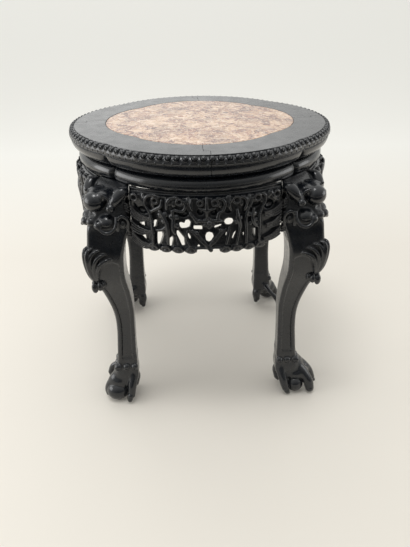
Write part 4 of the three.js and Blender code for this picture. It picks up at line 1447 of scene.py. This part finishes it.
@dataclass
class CarvedAprons:
    """The four bowed aprons, pierced and carved with curling leaves, feathers and a central flower.

    Places on an apron are: along it, the depth from its front (negative inward) and the height. The
    eye stands aside from the apron's middle and before it; a line of sight falls as it runs inward.
    """

    wood: bpy.types.Material
    top: float = 398.4
    bottom: float = 306.4
    face: float = 204.0
    half_length: float = 108.7
    radius: float = 206.08
    floor_depth: float = -5.0
    back_depth: float = -14.0
    groove: tuple[float, float] = (391.0, 394.0)
    groove_depth: float = 5.0
    eye_aside: float = -38.0
    eye_distance: float = 626.0
    sight_fall: float = 0.45
    opening_reach: float = 14.0

    def outline(self) -> list[tuple[float, float]]:
        """Returns the outline of the sheet under the carving, along and up."""
        end = self.half_length
        half = [(end, self.top), (end, 325), (97, 315), (86, 311), (20, 311), (14, 315), (0, 314)]
        return half + [(-u, z) for u, z in half[-2::-1]]

    def openings(self) -> list[list[tuple[float, float]]]:
        """Returns the pierced holes as small polygons, along and up."""
        return [
            [(-93, 352.5), (-82.5, 355.5), (-82.5, 345)],
            [(-91.7, 333), (-82.7, 335), (-81.3, 323.4)],
            [(-71.7, 359), (-65.7, 359.4), (-68.7, 349), (-73.7, 345), (-75.7, 348)],
            [(-39.3, 357), (-36.7, 359), (-31.7, 357.6), (-30, 362), (-25.7, 363.4), (-22.3, 359.6),
             (-23.7, 353), (-28.7, 350.4), (-35.7, 349.6), (-39, 353)],
            [(-20, 354), (-7.7, 354), (-7.3, 348.4), (-19.7, 348.8)],
            [(7.7, 353), (17.7, 355.2), (18.9, 354), (13.3, 351.6), (7.7, 349.6)],
            [(20.3, 358.5), (22.5, 362.3), (27.3, 363.6), (32.5, 362.3), (34.3, 358.5), (32, 354.4),
             (27.3, 353.4), (22.5, 354.6)],
            [(-68.7, 341), (-60, 342), (-59.7, 336), (-64.3, 322), (-69, 320.6), (-69.7, 326)],
            [(-47.7, 337), (-46.3, 333), (-48.7, 321), (-52.7, 320), (-53.7, 332)],
            [(-42.7, 345.6), (-39.7, 346), (-31.7, 335), (-30.7, 323), (-35.7, 322.6), (-39.7, 333),
             (-42.7, 340)],
            [(-28.3, 342.6), (-26.3, 342.6), (-23, 337), (-23.3, 333), (-25.7, 334), (-27.9, 339)],
            [(-13.7, 325), (-9.3, 321.4), (-15.7, 321)],
            [(1.3, 344), (5.7, 342.4), (7.7, 337), (4.3, 331), (1.3, 328.6), (-3.1, 331), (-4.3, 338),
             (-2.3, 343)],
            [(38.9, 345), (36.3, 338), (33.3, 330.4), (31.3, 331.6), (33.7, 339), (37.3, 344)],
            [(23.5, 342), (25.5, 342.5), (24.5, 336), (22.8, 337)],
            [(46.3, 339), (49, 339), (49, 333), (47, 333)],
            [(60.7, 342), (65.5, 342.6), (66.3, 331), (64.3, 328.4), (61.5, 334)],
        ]

    def sight_shift(self, along: float) -> tuple[float, float]:
        """Returns how far a line of sight runs on, along and up, for each millimetre of depth.

        Args:
            along: where it meets the apron.

        Returns:
            The shift along and the shift up.
        """
        slant = math.atan((along - self.eye_aside) / self.eye_distance) + math.asin(along / self.radius)
        return math.tan(slant), -self.sight_fall

    def carve_sheet(self, carving: CarvingBlock) -> None:
        """Cuts the sheet that carries the carving, with a groove along its upper edge."""
        u = carving.axes[0][:, None]
        z = carving.axes[2][None, :]
        plan = polygon_distance(self.outline(), u, z)[:, None, :]
        v = carving.axes[1][None, :, None]
        sunk = self.groove_depth * soft_step(*self.groove, z)[:, None, :]
        slab = np.maximum(v - self.floor_depth + sunk, self.back_depth - v)
        carving.field[:] = -smooth_least(-np.broadcast_to(plan, carving.field.shape), -slab, 2.0)

    def carve_openings(self, carving: CarvingBlock) -> None:
        """Pierces the openings, each along the line of sight from before the stand."""
        u = carving.axes[0][:, None, None]
        v = carving.axes[1][None, :, None]
        z = carving.axes[2][None, None, :]
        for shape in self.openings():
            corners = np.array(shape)
            low = corners.min(axis=0) - self.opening_reach
            high = corners.max(axis=0) + self.opening_reach
            across = slice(*np.searchsorted(carving.axes[0], (low[0], high[0])))
            upward = slice(*np.searchsorted(carving.axes[2], (low[1], high[1])))
            aside, down = self.sight_shift(float(corners[:, 0].mean()))
            hole = polygon_distance(shape, u[across] + aside * v, z[:, :, upward] + down * v)
            part = carving.field[across, :, upward]
            part[:] = -smooth_least(-part, hole + 0.1, 0.6)

    def carve_pits(self, carving: CarvingBlock) -> None:
        """Sinks the ground between the curls, behind the leaves."""
        pits = ((-90, 368.5, 6.5, 5.5), (-73, 375, 5.5, 3.2), (-34, 370, 8, 6), (29, 373, 6, 5),
                (67, 376, 7, 3.4), (87.5, 372.5, 7, 7), (-10, 372, 5, 5), (8, 371, 4.5, 5),
                (-95, 345, 3, 4), (52, 372, 3, 5))
        for along, up, wide, tall in pits:
            carving.cut(Blob((along, -5.5, up), (wide, 5.5, tall)), soft=1.2)

    def carve_curls(self, carving: CarvingBlock) -> None:
        """Adds the row of ring curls under the waist and the leaves that hang from them."""
        curls = [(-101.5, 388, 4.6), (-72.3, 387.6, 4.2), (-38.7, 387.6, 4.2), (-10.7, 386.8, 3.8),
                 (9.5, 386.5, 4.4), (39.3, 388.6, 4.8), (69.3, 388.2, 4.6), (98.5, 388, 4.6)]
        for along, up, size in curls:
            ring = [(along + size * math.cos(a), 0.3, up + size * math.sin(a), 1.7)
                    for a in np.linspace(0, 2 * math.pi, 9, endpoint=False)]
            carving.add(Blob((along, -4.5, up), (size + 1, 3.4, size + 1)), soft=0.8)
            carving.add(Stroke(ring, pieces=2, closed=True), soft=0.5)
            carving.cut(Blob((along, 0, up), (size - 2.2, 3.6, size - 2.2)), soft=0.5)
        leaves = [
            [(-66, -0.5, 393, 1.8), (-76, 0.2, 395, 1.9), (-84.5, 0.5, 391, 2.2), (-87, 0, 382, 2.2),
             (-82, -1, 371, 2.0)],
            [(-63, -1, 388, 2.2), (-64.5, -1, 380, 2.6), (-71, -1.5, 375, 2.6), (-79, -1.5, 370, 2.2)],
            [(-42, -0.5, 394, 1.9), (-50, 0.4, 393, 2.2), (-55.5, 0.4, 387, 2.4), (-57, -0.5, 377, 2.2)],
            [(-32, -1, 388, 2.2), (-31, -1, 380, 2.2), (-36, -1.5, 374, 2.2), (-46, -2, 375, 2.2)],
            [(-22.5, 0, 392, 1.8), (-23.5, 0.4, 384, 2.4), (-22, 0.5, 377, 1.8)],
            [(-1.7, -1, 394, 2.0), (-1.9, 0.5, 384, 2.6), (-1.7, 0.2, 374, 2.6), (-1.7, -1, 364, 2.0)],
            [(-12, -1.5, 379, 2.0), (-2, 0.5, 376, 2.2), (9, -1.5, 378, 2.0)],
            [(13, -0.3, 393, 1.9), (20, 0.5, 391, 2.2), (23.5, 0.2, 384, 2.3), (21, -0.5, 375, 2.2),
             (14, -1.5, 371, 2.0)],
            [(31, -1, 388, 2.2), (29, -1, 381, 2.4), (32, -1.5, 374, 2.0)],
            [(46, -0.3, 393, 1.9), (52.5, 0.4, 389, 2.3), (54, 0, 381, 2.2), (51, -1, 373, 2.0)],
            [(62, -1, 388, 2.2), (60, -1, 380, 2.2), (56, -1.5, 374, 2.0)],
            [(76, -0.3, 393, 1.9), (81, 0.4, 389, 2.3), (81, 0, 380, 2.2), (76, -1, 372, 2.2)],
            [(90, -1, 392, 2.2), (94, -0.5, 383, 2.2), (101, -1, 378, 2.0)],
        ]
        for path in leaves:
            carving.add(Stroke(path), soft=0.9)
        folds = ((-89, 389, 4), (-55, 384, 5), (-47, 384, 4.5), (-26, 388, 5), (17, 383, 4), (28, 389, 4.5),
                 (47, 383, 4.5), (57, 387, 4.5), (77, 383, 4.5), (87, 388, 4.5), (-76, 381, 4))
        for along, up, wide in folds:
            carving.add(Blob((along, -4.5, up), (wide, 4.2, 7)), soft=1.0)

    def carve_feathers(self, carving: CarvingBlock) -> None:
        """Adds the three feathered leaves at each end, each of four fine ribs."""
        bundles = [
            ([(-108.5, 368), (-101, 361.5), (-92, 357.5), (-82, 357)], 4.0),
            ([(-108.5, 344), (-100, 339.5), (-91, 337.5), (-81, 337)], 3.9),
            ([(-108.5, 329), (-100, 321), (-90, 316), (-77, 317.5)], 3.6),
            ([(108.5, 367), (101, 362), (92, 360), (81, 360.5)], 4.0),
            ([(108.5, 348.5), (101, 344.5), (94, 342), (85, 342)], 3.6),
            ([(108.5, 330), (101, 325), (93, 322), (82, 320.5)], 3.4),
        ]
        for path, spacing in bundles:
            quill = [(u, -7, z, 5.4 - 0.9 * at) for at, (u, z) in enumerate(path)]
            carving.add(Stroke(quill, squash=0.8), soft=1.0)
            for number in (-1.5, -0.5, 0.5, 1.5):
                rib = [(u, 0.1 - 0.3 * at, z + number * (spacing + 0.7) * (1 - 0.18 * at), 1.35 - 0.07 * at)
                       for at, (u, z) in enumerate(path)]
                carving.add(Stroke(rib), soft=0.2)

    def carve_leaves(self, carving: CarvingBlock) -> None:
        """Adds stalks, drooping leaves and clumps between the openings."""
        stalks = [
            [(-84, -2, 376, 2.4), (-79, -1, 362, 2.8), (-78, -0.5, 345, 3.2), (-78.5, -1, 322, 2.6)],
            [(-66, -1, 372, 2.6), (-60, 0, 362, 3.2), (-56.5, 0, 348, 3.4), (-57, -1, 324, 2.6)],
            [(-49, -1.5, 374, 2.4), (-48, -0.5, 360, 3.0), (-49, -0.5, 346, 3.0), (-45.5, -1, 339, 1.8)],
            [(-72.5, -1, 343, 1.8), (-63, 0.2, 346, 2.2), (-58, 0, 352, 2.0)],
            [(-44, -1.5, 334, 1.8), (-42.5, -1, 324, 2.4)],
            [(-29, -1, 345, 1.7), (-30, -0.5, 333, 2.0), (-26, -1, 322, 2.2)],
            [(-24, -1, 372, 2.4), (-18, 0, 364, 2.6), (-16, -0.5, 358, 2.0)],
            [(16, -1, 372, 2.4), (13, 0, 364, 2.6), (15, -0.5, 358, 2.0)],
            [(40, -1, 374, 2.6), (42, 0.2, 362, 3.8), (45, 0, 350, 3.2), (43, -0.5, 336, 2.4),
             (41, -1, 322, 2.2)],
            [(56, -1, 374, 2.4), (53, 0, 360, 2.8), (54.5, -0.5, 345, 2.8), (55, -1, 322, 2.4)],
            [(64, -1, 372, 2.4), (63, 0.4, 360, 3.2), (67, 0.2, 349, 3.0), (73, -0.5, 344, 2.0)],
            [(77, -1.5, 372, 2.4), (73, 0, 360, 2.8), (74, 0, 345, 3.0), (74.5, -1, 322, 2.6)],
            [(30, -1, 350, 1.8), (28.5, -0.5, 338, 2.6), (26, -1, 324, 2.4)],
        ]
        for path in stalks:
            carving.add(Stroke(path), soft=0.9)
        clumps = [(-66, 366, 4.6), (-58.5, 368, 4.2), (-51, 365, 4.2), (-62, 357, 3.8), (-43, 365, 4.0),
                  (-42.5, 352, 4.2), (-47, 354, 3.2), (40.5, 356, 4.4), (46, 361, 3.8), (58, 365, 3.8),
                  (66, 364, 4.0), (60, 351, 3.6), (69, 355, 3.6), (-15.5, 342, 3.4), (17, 346, 3.0)]
        for along, up, size in clumps:
            carving.add(Blob((along, -2.6, up), (size, 4.2, size * 1.15)), soft=0.6)

    def carve_flower(self, carving: CarvingBlock) -> None:
        """Adds the central flower and the crossing stems under it."""
        carving.add(Blob((1.3, -4, 357), (7.5, 5, 7.5)), soft=1.0)
        for number in range(6):
            angle = math.radians(90 + 60 * number)
            petal = (1.3 + 6.2 * math.cos(angle), -1.0, 357.5 + 6.2 * math.sin(angle))
            carving.add(Blob(petal, (3.4, 3.4, 3.4)), soft=0.4)
        carving.add(Blob((1.3, 1.2, 358), (3.4, 3.2, 3.4)), soft=0.4)
        carving.add(Stroke([(-7, -1, 360, 2.4), (-12, 0, 361, 3.2), (-17, -0.8, 359, 2.2)]),
                    Stroke([(9, -1, 360, 2.4), (14, 0, 361, 3.2), (19, -0.8, 359.5, 2.0)]), soft=0.8)
        for shift in (0, 4.4):
            left = [(-25.7 + shift, -2, 346, 1.5), (-17 + 0.9 * shift, -0.5, 338.5, 1.7),
                    (-9 + 0.8 * shift, 0, 328.5, 1.7), (-2 + 0.4 * shift, -0.5, 321, 1.6)]
            right = [(25 - shift, -2, 346, 1.5), (16.5 - 0.9 * shift, -0.5, 337, 1.7),
                     (9 - 0.8 * shift, 0, 328, 1.7), (2.6 - 0.4 * shift, -0.5, 321, 1.6)]
            carving.add(Stroke(left), Stroke(right), soft=0.5)
        carving.add(Stroke([(-3, -2, 321, 2), (3.3, -0.5, 316, 3.4), (3.6, -2, 312.5, 1.4)]), soft=0.8)

    def carve_lobes(self, carving: CarvingBlock) -> None:
        """Adds the oval lobes along the lower edge, each with a hollow and a knob."""
        for along in (-78.7, -60.7, -42.7, -24.7, 25.3, 42.3, 60.3, 77.5):
            carving.add(Blob((along, -5.5, 313.6), (9.4, 5.5, 6.4)), soft=0.8)
            rim = [(along - 7.5, -1.5, 312.5, 1.3), (along - 4.5, -0.6, 317.3, 1.4), (along, -0.4, 319, 1.5),
                   (along + 4.5, -0.6, 317.3, 1.4), (along + 7.5, -1.5, 312.5, 1.3)]
            carving.add(Stroke(rim), soft=0.5)
            carving.cut(Blob((along, 0.6, 314), (4.2, 1.8, 2.4)), soft=0.8)
            carving.add(Blob((along, -0.9, 313.2), (2.0, 1.8, 1.6)), soft=0.4)
        carving.add(Stroke([(-18, -4, 317, 2.6), (-8, -3, 318, 2.4), (0, -3, 317.5, 2.4), (9, -3, 318, 2.4),
                            (18, -4, 317, 2.6)]), soft=1.0)

    def carve(self, step: float) -> tuple[np.ndarray, np.ndarray, np.ndarray, np.ndarray]:
        """Carves one apron flat and bows it.

        Args:
            step: spacing of the points.

        Returns:
            Points, faces, hollowness and sharpness.
        """
        along = np.arange(-self.half_length - 2 * step, self.half_length + 3 * step, step)
        depth = np.arange(self.back_depth - 3 * step, 9, step)
        height = np.arange(self.bottom - 3, self.top + 3 * step, step)
        carving = CarvingBlock((along, depth, height))
        self.carve_sheet(carving)
        self.carve_pits(carving)
        self.carve_leaves(carving)
        self.carve_curls(carving)
        self.carve_feathers(carving)
        self.carve_flower(carving)
        self.carve_lobes(carving)
        self.carve_openings(carving)
        u, v, z = carving.places()
        limits = np.maximum(np.abs(u) - self.half_length, np.maximum(z - self.top, self.bottom - z))
        limits = np.maximum(limits, self.back_depth - 0.5 - v)
        carving.field[:] = np.maximum(carving.field, limits)
        return carving.cut_out()

    def bow(self, points: np.ndarray) -> np.ndarray:
        """Bends flat points (along, depth, height) to the plan of the lobe that points along +X."""
        across = np.sqrt((self.radius + points[:, 1]) ** 2 - points[:, 0] ** 2)
        return np.stack([self.face - self.radius + across, points[:, 0], points[:, 2]], axis=1)

    def build(self) -> list[bpy.types.Object]:
        """Makes the four aprons.

        Returns:
            The aprons, riding on the stand.
        """
        flat, faces, hollow, edge = self.carve(carving_detail().value)
        log.info("one apron has %d faces", len(faces))
        bowed = self.bow(flat)
        pieces = []
        for turn, side in enumerate(SIDES):
            piece = make_object(f"carved_apron_{side}", quarter_turn(bowed, turn), faces[:, ::-1], self.wood)
            store_attribute(piece.data, "grain", flat[:, [1, 2, 0]] + 173.0 * turn)
            store_attribute(piece.data, "hollow", hollow)
            store_attribute(piece.data, "edge", edge)
            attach(piece, "root")
            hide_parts(f"apron_{side}")
            pieces.append(piece)
        return pieces


@dataclass
class InnerJoinery:
    """The battens under the marble, and the splines and pegs inside the joints."""

    wood: bpy.types.Material

    def dress(self, nodes: dict[str, bpy.types.Object]) -> None:
        """Gives every joinery node that stays as it is its finish."""
        for name, node in nodes.items():
            if name.startswith(("panel_batten", "frame_spline", "apron_peg")):
                node.data.materials.clear()
                node.data.materials.append(self.wood)


@dataclass
class Studio:
    """Pale floor and wall, soft lights and the camera at the place that the picture was taken from."""

    floor: bpy.types.Material
    cloth: bpy.types.Material
    eye: Point = (-0.03801, -0.82629, 0.63708)
    tilt: float = 60.008
    heading: float = -3.018
    roll: float = -0.645
    lens: float = 32.493

    def build_stage(self) -> None:
        """Makes the floor, and a black cloth on it before the camera that keeps the front faces dark."""
        self.lay("studio_floor", (-60, -60, 60, 60), 0.0, self.floor)
        self.lay("black_cloth", (-1.6, -2.6, 1.6, -0.66), 0.002, self.cloth)

    def lay(self, name: str, box: tuple[float, float, float, float], height: float,
            finish: bpy.types.Material) -> None:
        """Lays a flat sheet of the stage.

        Args:
            name: its name.
            box: least x and y, greatest x and y, in metres.
            height: how high it lies.
            finish: its material.
        """
        mesh = bpy.data.meshes.new(name)
        mesh.from_pydata([(box[0], box[1], height), (box[2], box[1], height), (box[2], box[3], height),
                          (box[0], box[3], height)], [], [(0, 1, 2, 3)])
        mesh.materials.append(finish)
        sheet = bpy.data.objects.new(name, mesh)
        bpy.context.scene.collection.objects.link(sheet)

    def add_light(self, name: str, place: Point, aim: Point, size: tuple[float, float], power: float) -> None:
        """Adds a soft rectangular light.

        Args:
            name: its name.
            place: where it hangs, in metres.
            aim: the point that it faces.
            size: width and height in metres.
            power: watts.
        """
        data = bpy.data.lights.new(name, "AREA")
        data.shape = "RECTANGLE"
        data.size, data.size_y = size
        data.energy = power
        light = bpy.data.objects.new(name, data)
        light.location = place
        light.rotation_euler = (Vector(aim) - Vector(place)).to_track_quat("-Z", "Y").to_euler()
        bpy.context.scene.collection.objects.link(light)

    def build_lights(self) -> None:
        """Adds a wide light from behind, soft lights overhead and at the sides, and the bright room."""
        sun = bpy.data.lights.new("back_light", "SUN")
        sun.energy = 0.3
        sun.angle = math.radians(55)
        lamp = bpy.data.objects.new("back_light", sun)
        lamp.rotation_euler = Vector((-0.15, 1.0, 0.7)).to_track_quat("Z", "Y").to_euler()
        bpy.context.scene.collection.objects.link(lamp)
        self.add_light("overhead_softbox", (-0.25, -0.3, 2.2), (0, 0, 0.3), (0.6, 0.6), 12)
        self.add_light("left_window", (-1.6, -0.2, 0.6), (0, 0, 0.4), (1.2, 0.8), 10)
        self.add_light("right_window", (1.6, -0.1, 0.6), (0, 0, 0.4), (1.0, 0.6), 4)
        self.build_room()

    def build_room(self) -> None:
        """Makes the room's light: bright above, behind and at the left, dimmer in front, pale where seen."""
        world = bpy.context.scene.world or bpy.data.worlds.new("studio")
        bpy.context.scene.world = world
        world.use_nodes = True
        tree = world.node_tree
        tree.nodes.clear()
        place = add_node(tree, "ShaderNodeTexCoord")
        parts = add_node(tree, "ShaderNodeSeparateXYZ", inputs={"Vector": place.outputs["Generated"]})
        upward = add_node(tree, "ShaderNodeMath", {"operation": "MULTIPLY_ADD"}, {
            0: parts.outputs["Z"], 1: 0.62, 2: 0.28})
        aside = add_node(tree, "ShaderNodeMath", {"operation": "ABSOLUTE"}, {0: parts.outputs["X"]})
        sides = add_node(tree, "ShaderNodeMath", {"operation": "MULTIPLY_ADD"}, {
            0: aside.outputs["Value"], 1: 0.2, 2: upward.outputs["Value"]})
        leftward = add_node(tree, "ShaderNodeMath", {"operation": "MULTIPLY_ADD"}, {
            0: parts.outputs["X"], 1: -0.12, 2: sides.outputs["Value"]})
        share = add_node(tree, "ShaderNodeMath", {"operation": "MULTIPLY_ADD", "use_clamp": True}, {
            0: parts.outputs["Y"], 1: 0.3, 2: leftward.outputs["Value"]})
        strength = add_node(tree, "ShaderNodeMapRange", inputs={
            "Value": share.outputs["Value"], "To Min": 0.06, "To Max": 1.1})
        seen = add_node(tree, "ShaderNodeLightPath")
        lit = add_node(tree, "ShaderNodeBackground", inputs={
            "Color": linear("fbfbf8"), "Strength": strength.outputs["Result"]})
        pale = add_node(tree, "ShaderNodeBackground", inputs={"Color": linear("f6f7f2"), "Strength": 1.0})
        mixed = add_node(tree, "ShaderNodeMixShader", inputs={
            0: seen.outputs["Is Camera Ray"], 1: lit.outputs["Background"], 2: pale.outputs["Background"]})
        output = add_node(tree, "ShaderNodeOutputWorld")
        tree.links.new(mixed.outputs["Shader"], output.inputs["Surface"])

    def build_camera(self) -> None:
        """Adds the camera with the picture's viewpoint."""
        data = bpy.data.cameras.new("camera")
        data.sensor_width = 36
        data.lens = self.lens
        data.clip_start = 0.05
        camera = bpy.data.objects.new("camera", data)
        camera.location = self.eye
        turn = Euler((math.radians(self.tilt), 0, math.radians(self.heading))).to_matrix()
        turn = turn @ Matrix.Rotation(math.radians(self.roll), 3, "Z")
        camera.rotation_euler = turn.to_euler()
        bpy.context.scene.collection.objects.link(camera)
        bpy.context.scene.camera = camera
        bpy.context.scene.view_settings.view_transform = "Standard"

    def build(self) -> None:
        """Makes the stage, the lights and the camera."""
        self.build_camera()
        self.build_stage()
        self.build_lights()


def main() -> None:
    """Builds the stand and its studio."""
    logging.basicConfig(level=logging.INFO, format="%(message)s")
    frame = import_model()
    black = EbonisedHardwood().build()
    plan = FourLobedPlan()
    cloth = StudioSurface("black_cloth", "0c0c0d", "0c0c0d")
    Studio(StudioSurface().build(), cloth.build()).build()
    log.info("studio ready")
    beads = BeadSpacing(plan)
    for piece in TopFrame(plan, beads, black).build():
        log.info("made %s", piece.name)
    for piece in BeadRows(beads, black).build():
        log.info("made %s", piece.name)
    for piece in WaistRails(plan, black).build():
        log.info("made %s", piece.name)
    log.info("made %s", MarblePanel(plan, BrecciaMarble().build()).build().name)
    for piece in CarvedLegs(plan, black).build():
        log.info("made %s", piece.name)
    for piece in CarvedAprons(black).build():
        log.info("made %s", piece.name)
    InnerJoinery(StainedInnerWood().build()).dress(frame["nodes"])
    log.info("dressed the inner joinery")


if __name__ == "__main__":
    main()
